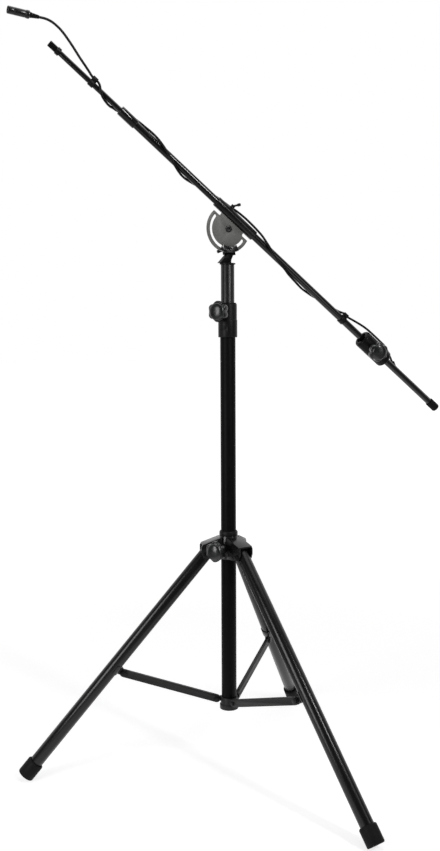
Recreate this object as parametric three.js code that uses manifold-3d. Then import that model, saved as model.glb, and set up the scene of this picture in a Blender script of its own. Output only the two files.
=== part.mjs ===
// Overhead boom arm on a folding three-legged stand.
// Lengths are in millimetres, angles in degrees, and +Z is up. The boom lies over the X axis with its
// thin front tube towards -X and its counterweight towards +X. It tilts about the Y axis.

import * as THREE from 'three';
import { mergeVertices } from 'three/addons/utils/BufferGeometryUtils.js';
import Module from 'manifold-3d';

const wasm = await Module();
wasm.setup();

// Clearances and counts
const seatGap = 0.3;
const runningGap = 0.4;
const cutOverrun = 2;
const tubeSides = 28;
const smallSides = 16;
const pinSides = 10;

// Column and mast
const columnDiameter = 40;
const columnWall = 1.6;
const columnBottom = 171;
const columnTop = 1225;
const mastDiameter = 35;
const mastWall = 1.5;
const mastBottom = 300;
const mastReach = 126;
const guideBushHeight = 15;
const plugFlangeHeight = 3.2;
const plugSpigotHeight = 20;

// Clutch that holds the mast, with its places counted from the column's top
const clutchSkirt = 62;
const clutchStepDrop = 17;
const clutchRise = 25;
const clutchWall = 4.5;
const clutchStepDepth = 0.9;
const clutchChamfer = 1.5;
const clutchBushWall = 2.7;
const clutchBushLip = 2;
const clutchKnobRise = 4;
const clutchKnobBearing = -56;
const clutchBossEnd = 33;
const clutchBossRadius = 11;
const clutchSlitDrop = 42;
const clutchSlitWidth = 1.2;
const clutchSlitDepth = 3;
const bushSlitWidth = 2;

// Star knobs
const knobRadius = 27.5;
const knobLobes = 6;
const knobLobeDepth = 5.5;
const knobBodyLength = 18;
const knobEdge = 3;
const knobNeckRadius = 11;
const knobNeckLength = 6;
const knobDomeRadius = 19;
const knobDomeHeight = 8;
const knobPointsPerLobe = 6;
const knobStudRadius = 4;

// Tripod
const leftLegBearing = -108.3;
const legTurn = 120;
const legDiameter = 35;
const legWall = 1.5;
const legSpread = 39.8;
const legLength = 754;
const legHeadLength = 14;
const legPivotRadius = 62;
const legPinRadius = 4;
const pinHeadHeight = 3;
const pinHeadOverhang = 3;
const braceOffset = 10;
const braceHeight = 20;
const braceWidth = 9;
const braceWall = 1.6;
const braceSeatDistance = 385.15;
const braceDrop = 34.15;
const bracePinRadius = 3;
const endPinClearance = 5.3;
const endPinHeadRadius = 8.8;
const braceInnerRadius = 32.5;
const braceInnerRise = 20.5;
const lugRadius = 7;
const webStart = 14;
const saddleWall = 1.8;
const saddleReach = 5;
const saddleLength = 26;
const collarSkirtWall = 4.7;
const collarSkirtHeight = 12;

// Foot caps
const footWall = 4.5;
const footLength = 46;
const footFloor = 6;
const footEdge = 3;
const footSoleDepth = 1;

// Hub and bottom collar
const hubHeightAbovePivot = 48.5;
const hubDepthBelowPivot = 14;
const hubWall = 2;
const hubBushWall = 2;
const hubBushRingHeight = 12.5;
const hubBushRingWall = 4.1;
const hubBushRingTaper = 1.5;
const hubCheekThickness = 3.5;
const hubWingReach = 13;
const hubWingDrop = 17;
const hubWingTopThickness = 3.5;
const hubKnobHeightAbovePivot = 16;
const hubKnobBearing = -57;
const hubBossEnd = 50;
const hubBossRadius = 13;
const collarWall = 2.1;
const collarDrop = 3.5;
const collarHeight = 32;

// Mast cap and swivel neck
const capFlangeRadius = 20.5;
const capFlangeHeight = 3;
const capSpigotLength = 22;
const postRadius = 7;
const postHeight = 14;
const neckBaseRadius = 10;
const neckBaseHeight = 15;
const neckBlockHeight = 23.2;
const neckBlockFoot = -11;
const neckBlockHead = 5;
const neckFootHalfWidth = 14;
const neckHeadHalfWidth = 8.5;
const neckBlockHalfDepth = 9.5;
const neckPlateThickness = 12;
const neckPlateFootHalfWidth = 15.5;
const neckPlateHeadRadius = 15;
const panScrewHeight = 8;
const panScrewRadius = 3;
const panHeadRadius = 6.5;
const panHeadLength = 8;
const panBossRadius = 7;
const panBossEnd = 14;
const panHeadFlutes = 10;
const panFluteDepth = 0.7;

// Tilt pivot, slotted disc and its clamp
const pivotRise = 90;
const pivotPlace = -2;
const boomElevation = 38.2;
const discRadius = 60.7;
const discThickness = 5;
const discFlatRise = 10.8;
const discNeckHalfWidth = 39;
const discNeckFillet = 2.5;
const discHoleRadius = 7.6;
const slotRadius = 49;
const slotHalfWidth = 4;
const slotEndRise = 2;
const boltShankRadius = 5;
const boltLipOverhang = 1.2;
const boltLipHeight = 1.3;
const boltSocketRadius = 3.6;
const boltSocketDepth = 3;
const nutRadius = 9;
const nutHeight = 6.5;
const nutSides = 6;
const shoeSweep = 25;
const shoeThickness = 7.4;
const clampScrewRadius = 3.5;
const clampScrewTip = 2;
const clampHubRadius = 7.5;
const clampHubLength = 10;
const clampBarRadius = 4.5;
const clampBarLength = 42;
const clampBarTurn = 22;

// Boom sleeve and its lever, with places measured along the boom from the pivot
const boomOffset = 33.8;
const sleeveRadius = 13.3;
const sleeveWall = 1.7;
const sleeveFront = -68;
const sleeveRear = 67;
const sleeveChamfer = 0.8;
const leverPlace = -27;
const leverTurn = 22;
const leverBossRadius = 6;
const leverBossTop = 16.5;
const leverScrewRadius = 3;
const leverHubRadius = 5.5;
const leverHubLength = 5.5;
const leverArmRadius = 2.6;
const leverArmLength = 11;
const leverTipRadius = 4;
const leverTipLength = 9;
const leverArmLean = 36;

// Boom tubes
const boomDiameter = 19;
const boomWall = 1.5;
const boomFront = -362;
const boomRear = 821.7;
const endCapRadius = 11.8;
const endCapFront = 796;
const endCapFloor = 6;
const endCapEdge = 2;
const frontTubeDiameter = 13;
const frontTubeWall = 1.2;
const frontTubeEnd = -584;
const frontTubeLength = 480;
const frontGuideLength = 12;
const twistRadius = 12;
const twistFront = -396;
const twistRear = -345;
const twistLip = 3.7;
const twistChamfer = 1.2;
const colletWall = 2.3;

// Threaded stud at the front
const studShoulderRadius = 9.5;
const studShoulderLength = 10;
const studRadius = 7.9;
const studLength = 22;
const studThreads = 5;
const studThreadDepth = 0.8;
const studSpigotLength = 18;

// Counterweight
const weightRadius = 24.5;
const weightFront = 497;
const weightLength = 100;
const weightEdge = 6;
const weightEdgeSteps = 3;
const weightRecessRadius = 15;
const weightRecessDepth = 5;
const weightKnobTurn = 108;
const weightBossEnd = 30;
const weightBossRadius = 12;
const weightKnobPlace = 541;

// Cable and what holds it
const cableDiameter = 6;
const cableSides = 8;
const clipWall = 2;
const clipLoopClearance = 0.5;
const clipLength = 14;
const clipTurn = 22;
const frontClipPlace = -486;
const rearClipPlace = 415;
const grommetCollarRadius = 6.4;
const grommetCollarLength = 7;
const grommetShankRadius = 4.7;
const grommetShankLength = 9;
const bootLength = 22;
const bootWideRadius = 6.4;
const bootNarrowRadius = 4.2;
const connectorRadius = 9.5;
const connectorLength = 52;
const connectorRing = 8;
const connectorRingStep = 0.8;
const connectorFaceDepth = 2.5;
const connectorRim = 1.6;

// The cable's route: place along the boom, turn about the boom from its top towards the front side,
// and distance from the boom's axis
const leadRoute = [
  [-668, 0, 29.5], [-655, 0, 37.8], [-640, 0, 43], [-622, 0, 44.4], [-606, 0, 42.9], [-576, 0, 36],
  [-541, 3, 25.3], [-520, 8, 19.5], [-506, 15, 15.4], [-495, 22, 12.3],
];
const frontWrapRoute = [
  [-486, 22, 12.3], [-477, 22, 12.3], [-469, 60, 11.5], [-460, 106, 10.7], [-449, 143, 10.4],
  [-434, 175, 10.4], [-420, 213, 10.4], [-410, 245, 11], [-400, 266, 14.6], [-390, 283, 15.8],
  [-371, 305, 16.3], [-356, 322, 16.3], [-340, 336, 15], [-322, 352, 13.5], [-305, 372, 13.1],
  [-287, 398, 13.1], [-268, 424, 13.1], [-248, 450, 13.1], [-228, 478, 13.1], [-208, 507, 13.2],
  [-192, 531, 13.3], [-180, 552, 13.3], [-166, 575, 13.3], [-152, 598, 13.2], [-137, 618, 13.1],
  [-120, 638, 13.3],
];
const rearWrapRoute = [
  [-104, 653, 14.4], [-88, 666, 16.4], [-72, 677, 17.1], [-44, 692, 17.4], [-26, 700, 17.5], [-11, 716, 17.9],
  [18, 736, 18.5], [46, 752, 18.4], [66, 760, 17.9], [82, 771, 17.5], [98, 786, 16.3],
  [114, 800, 14.9], [130, 818, 13.6], [150, 839, 13.2], [172, 856, 13.1], [192, 868, 13.1],
  [206, 882, 13.3], [222, 890, 13.6], [244, 900, 13.9], [264, 924, 13.8], [284, 950, 13.8],
  [304, 968, 13.8], [324, 990, 13.4], [346, 1012, 13.2], [368, 1031, 13.2], [387, 1046, 13.2],
  [398, 1062, 13.9], [407, 1100, 15.3], [423, 1102, 15.3], [440, 1102, 18.8], [456, 1102, 22.2],
  [472, 1102, 25.2], [488, 1102, 27.3], [508, 1102, 28.2], [548, 1101, 28.2], [566, 1095, 28.1],
  [580, 1080, 28], [591, 1070, 27.5], [600, 1064, 26], [609, 1060, 23], [617, 1057, 19.5],
  [624, 1055, 15.2],
];

// Sizes that follow from those above
const columnRadius = columnDiameter / 2;
const columnBore = columnRadius - columnWall;
const mastRadius = mastDiameter / 2;
const mastBore = mastRadius - mastWall;
const mastTop = columnTop + mastReach;
const pivotHeight = mastTop + pivotRise;
const braceInnerHeight = columnBottom + braceInnerRise;
const collarBottom = columnBottom - collarDrop;
const collarTop = collarBottom + collarHeight;
const clutchBottom = columnTop - clutchSkirt;
const clutchStep = columnTop - clutchStepDrop;
const clutchTop = columnTop + clutchRise;
const clutchKnobHeight = columnTop + clutchKnobRise;
const clutchSlitHeight = columnTop - clutchSlitDrop;
const legRadius = legDiameter / 2;
const boomRadius = boomDiameter / 2;
const boomBore = boomRadius - boomWall;
const frontTubeRadius = frontTubeDiameter / 2;
const frontTubeBore = frontTubeRadius - frontTubeWall;
const cableRadius = cableDiameter / 2;
const spread = THREE.MathUtils.degToRad(legSpread);
const neckPlateHalf = neckPlateThickness / 2;
const discHalf = discThickness / 2;
const cradlePlace = -(neckPlateHalf + seatGap + discHalf);
const discFront = cradlePlace - discHalf;
const sleeveBore = sleeveRadius - sleeveWall;
const weightRear = weightFront + weightLength;
const braceMiddle = -braceOffset;
const braceHalfWidth = braceWidth / 2;
const lugHalfWidth = braceHalfWidth - braceWall - seatGap;
const footRadius = legRadius + seatGap + footWall;
const legBearings = {
  left: leftLegBearing,
  right: leftLegBearing + legTurn,
  rear: leftLegBearing + 2 * legTurn,
};

const footProfile = [
  [0, 0],
  [footRadius - footEdge, 0],
  [footRadius - footEdge * (1 - Math.SQRT1_2), footEdge * (1 - Math.SQRT1_2)],
  [footRadius, footEdge],
  [footRadius, footLength - footEdge],
  [footRadius - footEdge, footLength],
  [legRadius + seatGap, footLength],
  [legRadius + seatGap, footFloor],
  [0, footFloor],
];
const footDrop = Math.max(...footProfile.map(([r, z]) => r * Math.sin(spread) - z * Math.cos(spread)));
const footEndHeight = footDrop - footSoleDepth;
const legPivotHeight = footEndHeight + legLength * Math.cos(spread);
const hubTop = legPivotHeight + hubHeightAbovePivot;
const hubBottom = legPivotHeight - hubDepthBelowPivot;
const hubKnobHeight = legPivotHeight + hubKnobHeightAbovePivot;
const hubBore = columnRadius + seatGap + hubBushWall + seatGap;
const hubRadius = hubBore + hubWall;

const braceOuterRadius = legPivotRadius + braceSeatDistance * Math.sin(spread) - braceDrop * Math.cos(spread);
const braceOuterHeight = legPivotHeight - braceSeatDistance * Math.cos(spread) - braceDrop * Math.sin(spread);
const braceRun = braceOuterRadius - braceInnerRadius;
const braceRise = braceOuterHeight - braceInnerHeight;
const braceLength = Math.hypot(braceRun, braceRise);
const braceSlope = Math.atan2(braceRise, braceRun);

// Finishes
const satinBlack = new THREE.MeshStandardMaterial({ color: 0x141415, roughness: 0.38, metalness: 0.3 });
const plasticBlack = new THREE.MeshStandardMaterial({ color: 0x19191a, roughness: 0.45, metalness: 0 });
const rubberBlack = new THREE.MeshStandardMaterial({ color: 0x111111, roughness: 0.75, metalness: 0 });
const castBlack = new THREE.MeshStandardMaterial({ color: 0x17181a, roughness: 0.5, metalness: 0.4 });
const plateGrey = new THREE.MeshStandardMaterial({ color: 0x6b6b68, roughness: 0.5, metalness: 0.6 });
const blackZinc = new THREE.MeshStandardMaterial({ color: 0x28282a, roughness: 0.4, metalness: 0.8 });

// A closed geometry as a solid for joining and cutting
function solidOf(geometry) {
  const bare = geometry.index ? geometry.toNonIndexed() : geometry.clone();
  bare.deleteAttribute('normal');
  bare.deleteAttribute('uv');
  const merged = mergeVertices(bare, 1e-4);
  const place = merged.attributes.position;
  const corners = [0, 1, 2].map(() => new THREE.Vector3());
  const triangles = [];
  let sixVolumes = 0;
  for (let i = 0; i < merged.index.count; i += 3) {
    const ids = [0, 1, 2].map((k) => merged.index.getX(i + k));
    if (ids[0] === ids[1] || ids[1] === ids[2] || ids[2] === ids[0]) continue;
    ids.forEach((id, k) => corners[k].fromBufferAttribute(place, id));
    sixVolumes += corners[0].dot(corners[1].clone().cross(corners[2]));
    triangles.push(ids);
  }
  if (sixVolumes < 0) triangles.forEach((ids) => ids.reverse());
  return new wasm.Manifold(new wasm.Mesh({
    numProp: 3,
    vertProperties: new Float32Array(place.array),
    triVerts: new Uint32Array(triangles.flat()),
  }));
}

// A solid back as a geometry with flat faces
function geometryOf(solid) {
  const { vertProperties, triVerts } = solid.getMesh();
  const geometry = new THREE.BufferGeometry();
  geometry.setAttribute('position', new THREE.BufferAttribute(new Float32Array(vertProperties), 3));
  geometry.setIndex(new THREE.BufferAttribute(new Uint32Array(triVerts), 1));
  geometry.computeVertexNormals();
  return geometry;
}

function join(...geometries) {
  return geometryOf(geometries.map(solidOf).reduce((a, b) => a.add(b)));
}

function cut(geometry, ...tools) {
  return geometryOf(tools.map(solidOf).reduce((a, b) => a.subtract(b), solidOf(geometry)));
}

// A profile of [radius, height] points turned about +Z
function turned(profile, sides = tubeSides) {
  const points = [...profile, profile[0]].map(([r, z]) => new THREE.Vector2(r, z));
  return geometryOf(solidOf(new THREE.LatheGeometry(points, sides).rotateX(Math.PI / 2)));
}

function rod(radius, from, to, sides = tubeSides) {
  return turned([[0, from], [radius, from], [radius, to], [0, to]], sides);
}

function pipe(outer, inner, from, to, sides = tubeSides) {
  return turned([[inner, from], [outer, from], [outer, to], [inner, to]], sides);
}

// A rod or pipe that is chamfered at both outer edges
function edgedProfile(outer, inner, from, to, edge) {
  return [
    [inner, from], [outer - edge, from], [outer, from + edge],
    [outer, to - edge], [outer - edge, to], [inner, to],
  ];
}

function block(from, to) {
  const size = to.map((v, k) => v - from[k]);
  return new THREE.BoxGeometry(...size).translate(...from.map((v, k) => v + size[k] / 2));
}

const alongX = (geometry) => geometry.rotateY(Math.PI / 2);
const alongY = (geometry) => geometry.rotateX(-Math.PI / 2);
const radians = THREE.MathUtils.degToRad;

// An outline in the XZ plane, given thickness along Y
function slab(shape, fromY, toY, curveSegments = 12) {
  const depth = toY - fromY;
  return new THREE.ExtrudeGeometry(shape, { depth, bevelEnabled: false, curveSegments })
    .rotateX(Math.PI / 2)
    .translate(0, toY, 0);
}

function polygon(points) {
  return new THREE.Shape(points.map(([x, y]) => new THREE.Vector2(x, y)));
}

// A bar with round ends between two places of the XZ plane
function roundedBar(ax, az, bx, bz, radius) {
  const turn = Math.atan2(bz - az, bx - ax);
  const shape = new THREE.Shape();
  shape.absarc(ax, az, radius, turn + Math.PI / 2, turn + 1.5 * Math.PI, false);
  shape.absarc(bx, bz, radius, turn - Math.PI / 2, turn + Math.PI / 2, false);
  return shape;
}

function pieceOf(name, geometry, material) {
  const mesh = new THREE.Mesh(geometry, material);
  mesh.name = name;
  return mesh;
}

// Column with its plug, clutch and bottom collar
function columnPieces() {
  const tube = pipe(columnRadius, columnBore, columnBottom, columnTop);
  const plugRadius = columnBore - seatGap;
  const plug = join(
    rod(columnRadius, columnBottom - seatGap - plugFlangeHeight, columnBottom - seatGap),
    rod(plugRadius, columnBottom - seatGap - plugFlangeHeight, columnBottom + plugSpigotHeight),
  );
  return [
    pieceOf('column_tube', tube, satinBlack),
    pieceOf('column_end_plug', plug, plasticBlack),
    pieceOf('bottom_collar', bottomCollar(), castBlack),
    pieceOf('clutch_housing', clutchHousing(), plasticBlack),
    pieceOf('clutch_bush', clutchBush(), plasticBlack),
  ];
}

// A lug between a brace's two walls, from the brace's pivot back to another place of the XZ plane
function lug(pivotX, pivotZ, backX, backZ) {
  const shape = roundedBar(pivotX, pivotZ, backX, backZ, lugRadius);
  return slab(shape, braceMiddle - lugHalfWidth, braceMiddle + lugHalfWidth, smallSides / 4);
}

function bracePinHole(x, z, clearance = seatGap) {
  const reach = braceOffset + braceHalfWidth + cutOverrun;
  return alongY(rod(bracePinRadius + clearance, -reach, cutOverrun, smallSides)).translate(x, 0, z);
}

function bottomCollar() {
  const inner = columnRadius + seatGap;
  const skirt = inner + collarSkirtWall;
  const ring = inner + collarWall;
  const skirtTop = collarBottom + collarSkirtHeight;
  let collar = turned([
    [0, collarBottom],
    [skirt - seatGap, collarBottom],
    [skirt, collarBottom + 2 * seatGap],
    [skirt, skirtTop],
    [ring, skirtTop + collarWall],
    [ring, collarTop],
    [0, collarTop],
  ]);
  for (const bearing of Object.values(legBearings)) {
    const piece = lug(braceInnerRadius, braceInnerHeight, columnRadius, braceInnerHeight);
    const hole = bracePinHole(braceInnerRadius, braceInnerHeight);
    piece.rotateZ(radians(bearing - 90));
    hole.rotateZ(radians(bearing - 90));
    collar = cut(join(collar, piece), hole);
  }
  return cut(collar, rod(inner, collarBottom - cutOverrun, collarTop + cutOverrun));
}

// A rod along +X that is turned to a bearing, counted from -Y towards +X
function atBearing(geometry, bearing, height) {
  return geometry.rotateZ(radians(bearing - 90)).translate(0, 0, height);
}

function clutchHousing() {
  const lower = columnRadius + seatGap + clutchWall;
  const upper = lower - clutchStepDepth;
  const shell = turned([
    [0, clutchBottom],
    [lower - clutchChamfer, clutchBottom],
    [lower, clutchBottom + clutchChamfer],
    [lower, clutchStep],
    [upper, clutchStep + clutchStepDepth],
    [upper, clutchTop - clutchChamfer],
    [upper - clutchChamfer, clutchTop],
    [0, clutchTop],
  ]);
  const boss = atBearing(alongX(rod(clutchBossRadius, columnRadius, clutchBossEnd, smallSides)),
    clutchKnobBearing, clutchKnobHeight);
  const studHole = atBearing(alongX(rod(knobStudRadius + seatGap, 0, clutchBossEnd + cutOverrun, pinSides)),
    clutchKnobBearing, clutchKnobHeight);
  const columnSeat = rod(columnRadius + seatGap, clutchBottom - cutOverrun, columnTop + seatGap);
  const bushSeat = rod(clutchBushRadius() + seatGap, columnTop, clutchTop + cutOverrun);
  const slit = atBearing(
    block([lower - clutchSlitDepth, -lower, 0], [lower + cutOverrun, lower, clutchSlitWidth]),
    clutchKnobBearing,
    clutchSlitHeight,
  );
  return cut(join(shell, boss), studHole, columnSeat, bushSeat, slit);
}

const clutchBushRadius = () => mastRadius + runningGap + clutchBushWall;

function clutchBush() {
  const inner = mastRadius + runningGap;
  const outer = clutchBushRadius();
  const body = turned([
    [inner, columnTop + 2 * seatGap],
    [outer, columnTop + 2 * seatGap],
    [outer, clutchTop + seatGap],
    [outer + clutchBushLip, clutchTop + seatGap],
    [outer + clutchBushLip, clutchTop + seatGap + clutchBushLip],
    [inner, clutchTop + seatGap + clutchBushLip],
  ]);
  const half = bushSlitWidth / 2;
  const slitReach = outer + 2 * cutOverrun + clutchBushLip;
  const slit = block([0, -half, columnTop], [slitReach, half, clutchTop + 3 * clutchBushLip]);
  return cut(body, slit.rotateZ(radians(clutchKnobBearing + 90)));
}

// A star knob along +Z, standing on a boss at height 0, with a stud that reaches down
function starKnob(studLength) {
  const outline = [];
  const count = knobLobes * knobPointsPerLobe;
  for (let i = 0; i < count; i += 1) {
    const turn = (2 * Math.PI * i) / count;
    const radius = knobRadius - knobEdge - knobLobeDepth * (0.5 - 0.5 * Math.cos(knobLobes * turn));
    outline.push([radius * Math.cos(turn), radius * Math.sin(turn)]);
  }
  const body = new THREE.ExtrudeGeometry(polygon(outline), {
    depth: knobBodyLength - 2 * knobEdge,
    bevelThickness: knobEdge,
    bevelSize: knobEdge,
    bevelSegments: 2,
    steps: 1,
  }).translate(0, 0, knobNeckLength + knobEdge);
  const top = knobNeckLength + knobBodyLength;
  const domeProfile = [[0, top - knobEdge], [knobDomeRadius, top - knobEdge]];
  const domeSteps = 4;
  for (let i = 0; i <= domeSteps; i += 1) {
    const rise = (Math.PI / 2) * (i / domeSteps);
    domeProfile.push([knobDomeRadius * Math.cos(rise), top + knobDomeHeight * Math.sin(rise) - knobEdge / 2]);
  }
  return join(
    body,
    turned(domeProfile, smallSides),
    rod(knobNeckRadius, seatGap, knobNeckLength + knobEdge, smallSides),
    rod(knobStudRadius, -studLength, knobNeckLength, pinSides),
  );
}

// Hub with a channel for each leg
function hubBody() {
  const outerEnd = legPivotRadius + hubWingReach;
  const cheekIn = legRadius + seatGap + runningGap / 2;
  const cheekOut = cheekIn + hubCheekThickness;
  const wingTop = hubTop - hubWingTopThickness;
  const edge = hubWingTopThickness;
  const cheek = polygon([
    [columnRadius, hubBottom + edge],
    [columnRadius, wingTop],
    [hubRadius, wingTop],
    [outerEnd - edge, wingTop - hubWingDrop],
    [outerEnd, wingTop - hubWingDrop - 2 * edge],
    [outerEnd, legPivotHeight + 2 * edge],
    [legPivotRadius + 2 * edge, legPivotHeight - 2 * edge],
    [legPivotRadius - 2 * edge, legPivotHeight - 2.5 * edge],
    [hubRadius, hubBottom + edge],
  ]);
  const roof = polygon([
    [columnRadius, wingTop - hubWingTopThickness],
    [hubRadius, wingTop - hubWingTopThickness],
    [outerEnd - edge, wingTop - hubWingDrop - hubWingTopThickness],
    [outerEnd - edge, wingTop - hubWingDrop],
    [hubRadius, wingTop],
    [columnRadius, wingTop],
  ]);
  let hub = turned([
    [0, hubBottom],
    [hubRadius - edge, hubBottom],
    [hubRadius, hubBottom + edge],
    [hubRadius, hubTop],
    [0, hubTop],
  ]);
  for (const bearing of Object.values(legBearings)) {
    const wing = [
      slab(cheek, cheekIn, cheekOut),
      slab(cheek, -cheekOut, -cheekIn),
      slab(roof, -cheekOut, cheekOut),
    ];
    const hole = alongY(rod(legPinRadius + seatGap, -cheekOut - cutOverrun, cheekOut + cutOverrun, pinSides))
      .translate(legPivotRadius, 0, legPivotHeight);
    wing.forEach((piece) => piece.rotateZ(radians(bearing - 90)));
    hub = cut(join(hub, ...wing), hole.rotateZ(radians(bearing - 90)));
  }
  const bossAlongX = alongX(rod(hubBossRadius, columnRadius, hubBossEnd, smallSides));
  const boss = atBearing(bossAlongX, hubKnobBearing, hubKnobHeight);
  const studHole = atBearing(alongX(rod(knobStudRadius + seatGap, 0, hubBossEnd + cutOverrun, pinSides)),
    hubKnobBearing, hubKnobHeight);
  return cut(join(hub, boss), studHole, rod(hubBore, hubBottom - cutOverrun, hubTop + cutOverrun));
}

function hubBush() {
  const inner = columnRadius + seatGap;
  const outer = inner + hubBushWall;
  const ring = inner + hubBushRingWall;
  const ringTop = hubTop + seatGap + hubBushRingHeight;
  return turned([
    [inner, hubBottom],
    [outer, hubBottom],
    [outer, hubTop + seatGap],
    [ring, hubTop + seatGap],
    [ring, ringTop - 2 * hubBushRingTaper],
    [ring - hubBushRingTaper, ringTop],
    [inner, ringTop],
  ]);
}

// A headed pin along Y between two outer faces
function headedPin(radius, headRadius, fromY, toY) {
  const low = fromY - seatGap;
  const high = toY + seatGap;
  return alongY(turned([
    [0, low - pinHeadHeight],
    [headRadius, low - pinHeadHeight],
    [headRadius, low],
    [radius, low],
    [radius, high],
    [headRadius, high],
    [headRadius, high + pinHeadHeight],
    [0, high + pinHeadHeight],
  ], pinSides));
}

function legPin() {
  const face = legRadius + seatGap + runningGap / 2 + hubCheekThickness;
  return headedPin(legPinRadius, legPinRadius + pinHeadOverhang, -face, face);
}

function bracePin(headRadius) {
  return headedPin(bracePinRadius, headRadius, braceMiddle - braceHalfWidth, braceMiddle + braceHalfWidth);
}

// One leg's pieces in its own frame, with the pivot at the origin and the foot towards -Z
function legPieces(side) {
  const tube = cut(
    pipe(legRadius, legRadius - legWall, -(legLength - footFloor - seatGap), legHeadLength),
    alongY(rod(legPinRadius + seatGap, -legDiameter, legDiameter, pinSides)),
  );
  const floorSize = 4 * footRadius;
  const floor = block([-floorSize / 2, -floorSize / 2, -floorSize], [floorSize / 2, floorSize / 2, 0])
    .translate(0, 0, -footEndHeight)
    .rotateY(spread);
  const cap = cut(turned(footProfile), floor).translate(0, 0, -legLength);
  const saddleOuter = legRadius + seatGap + saddleWall;
  const saddle = rod(saddleOuter, -saddleLength / 2, saddleLength / 2);
  const upperSide = block(
    [-saddleReach, -legDiameter, -saddleLength],
    [legDiameter, legDiameter, saddleLength],
  );
  const lugFace = -braceDrop - lugRadius * Math.SQRT1_2;
  const gusset = slab(polygon([
    [lugFace, lugRadius * Math.SQRT1_2],
    [lugFace, -lugRadius * Math.SQRT1_2],
    [-legRadius, -saddleLength / 2],
    [-legRadius, saddleLength / 2],
  ]), braceMiddle - lugHalfWidth, braceMiddle + lugHalfWidth);
  const bracket = cut(
    join(saddle, lug(-braceDrop, 0, -legRadius + saddleWall, 0), gusset),
    rod(legRadius + seatGap, -saddleLength, saddleLength),
    upperSide,
    bracePinHole(-braceDrop, 0),
  ).translate(0, 0, -braceSeatDistance);
  const pin = bracePin(endPinHeadRadius).translate(-braceDrop, 0, -braceSeatDistance);
  return [
    pieceOf(`leg_tube_${side}`, tube, satinBlack),
    pieceOf(`foot_cap_${side}`, cap, rubberBlack),
    pieceOf(`leg_bracket_${side}`, bracket, castBlack),
    pieceOf(`brace_end_pin_${side}`, pin, blackZinc),
  ];
}

// A brace along +X from its inner pivot: two side walls with a web on top that ends short of the pivots
function braceBody() {
  const half = braceHeight / 2;
  const near = braceMiddle - braceHalfWidth;
  const far = braceMiddle + braceHalfWidth;
  const bar = slab(roundedBar(0, 0, braceLength, 0, half), near, far, smallSides / 4);
  const innerNear = near + braceWall;
  const innerFar = far - braceWall;
  const channel = block(
    [-braceHeight, innerNear, -braceHeight],
    [braceLength + braceHeight, innerFar, half - braceWall],
  );
  const ends = [[-braceHeight, webStart], [braceLength - webStart, braceLength + braceHeight]]
    .map(([from, to]) => block([from, innerNear, -braceHeight], [to, innerFar, braceHeight]));
  const holes = [bracePinHole(0, 0), bracePinHole(braceLength, 0, endPinClearance)];
  return cut(bar, channel, ...ends, ...holes);
}

// Tripod: hub, legs and braces, each leg in a frame whose +X points outwards at its bearing
function tripodPieces() {
  const group = new THREE.Group();
  group.add(pieceOf('hub_body', hubBody(), castBlack), pieceOf('hub_bush', hubBush(), plasticBlack));
  for (const [side, bearing] of Object.entries(legBearings)) {
    const arm = new THREE.Group();
    arm.rotation.z = radians(bearing - 90);
    const pin = pieceOf(`leg_pin_${side}`, legPin(), blackZinc);
    pin.position.set(legPivotRadius, 0, legPivotHeight);
    const leg = new THREE.Group();
    leg.position.copy(pin.position);
    leg.rotation.y = -spread;
    leg.add(...legPieces(side));
    const innerPin = pieceOf(`brace_pin_${side}`, bracePin(bracePinRadius + pinHeadOverhang), blackZinc);
    innerPin.position.set(braceInnerRadius, 0, braceInnerHeight);
    const brace = pieceOf(`brace_${side}`, braceBody(), satinBlack);
    brace.position.copy(innerPin.position);
    brace.rotation.y = -braceSlope;
    arm.add(pin, leg, innerPin, brace);
    group.add(arm);
  }
  return group;
}

// A knob on a radial boss of the column or the hub
function radialKnob(name, bearing, height, bossEnd, studTip) {
  const holder = new THREE.Group();
  holder.rotation.z = radians(bearing - 90);
  const knob = pieceOf(name, starKnob(bossEnd - studTip), plasticBlack);
  knob.position.set(bossEnd, 0, height);
  knob.rotation.y = Math.PI / 2;
  holder.add(knob);
  return holder;
}

// Mast with its lower guide and its cap
function mastPieces() {
  const tube = pipe(mastRadius, mastBore, mastBottom, mastTop);
  const spigot = mastBore - seatGap;
  const guide = join(
    rod(columnBore - seatGap, mastBottom - guideBushHeight, mastBottom - seatGap),
    rod(spigot, mastBottom - guideBushHeight, mastBottom + guideBushHeight),
  );
  const flangeBottom = mastTop + seatGap;
  const flangeTop = flangeBottom + capFlangeHeight;
  const cap = join(
    rod(spigot, mastTop - capSpigotLength, flangeTop),
    rod(capFlangeRadius, flangeBottom, flangeTop),
    rod(postRadius, flangeBottom, flangeTop + postHeight, smallSides),
  );
  return [
    pieceOf('mast_tube', tube, satinBlack),
    pieceOf('mast_guide_bush', guide, plasticBlack),
    pieceOf('mast_cap', cap, castBlack),
  ];
}

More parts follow.
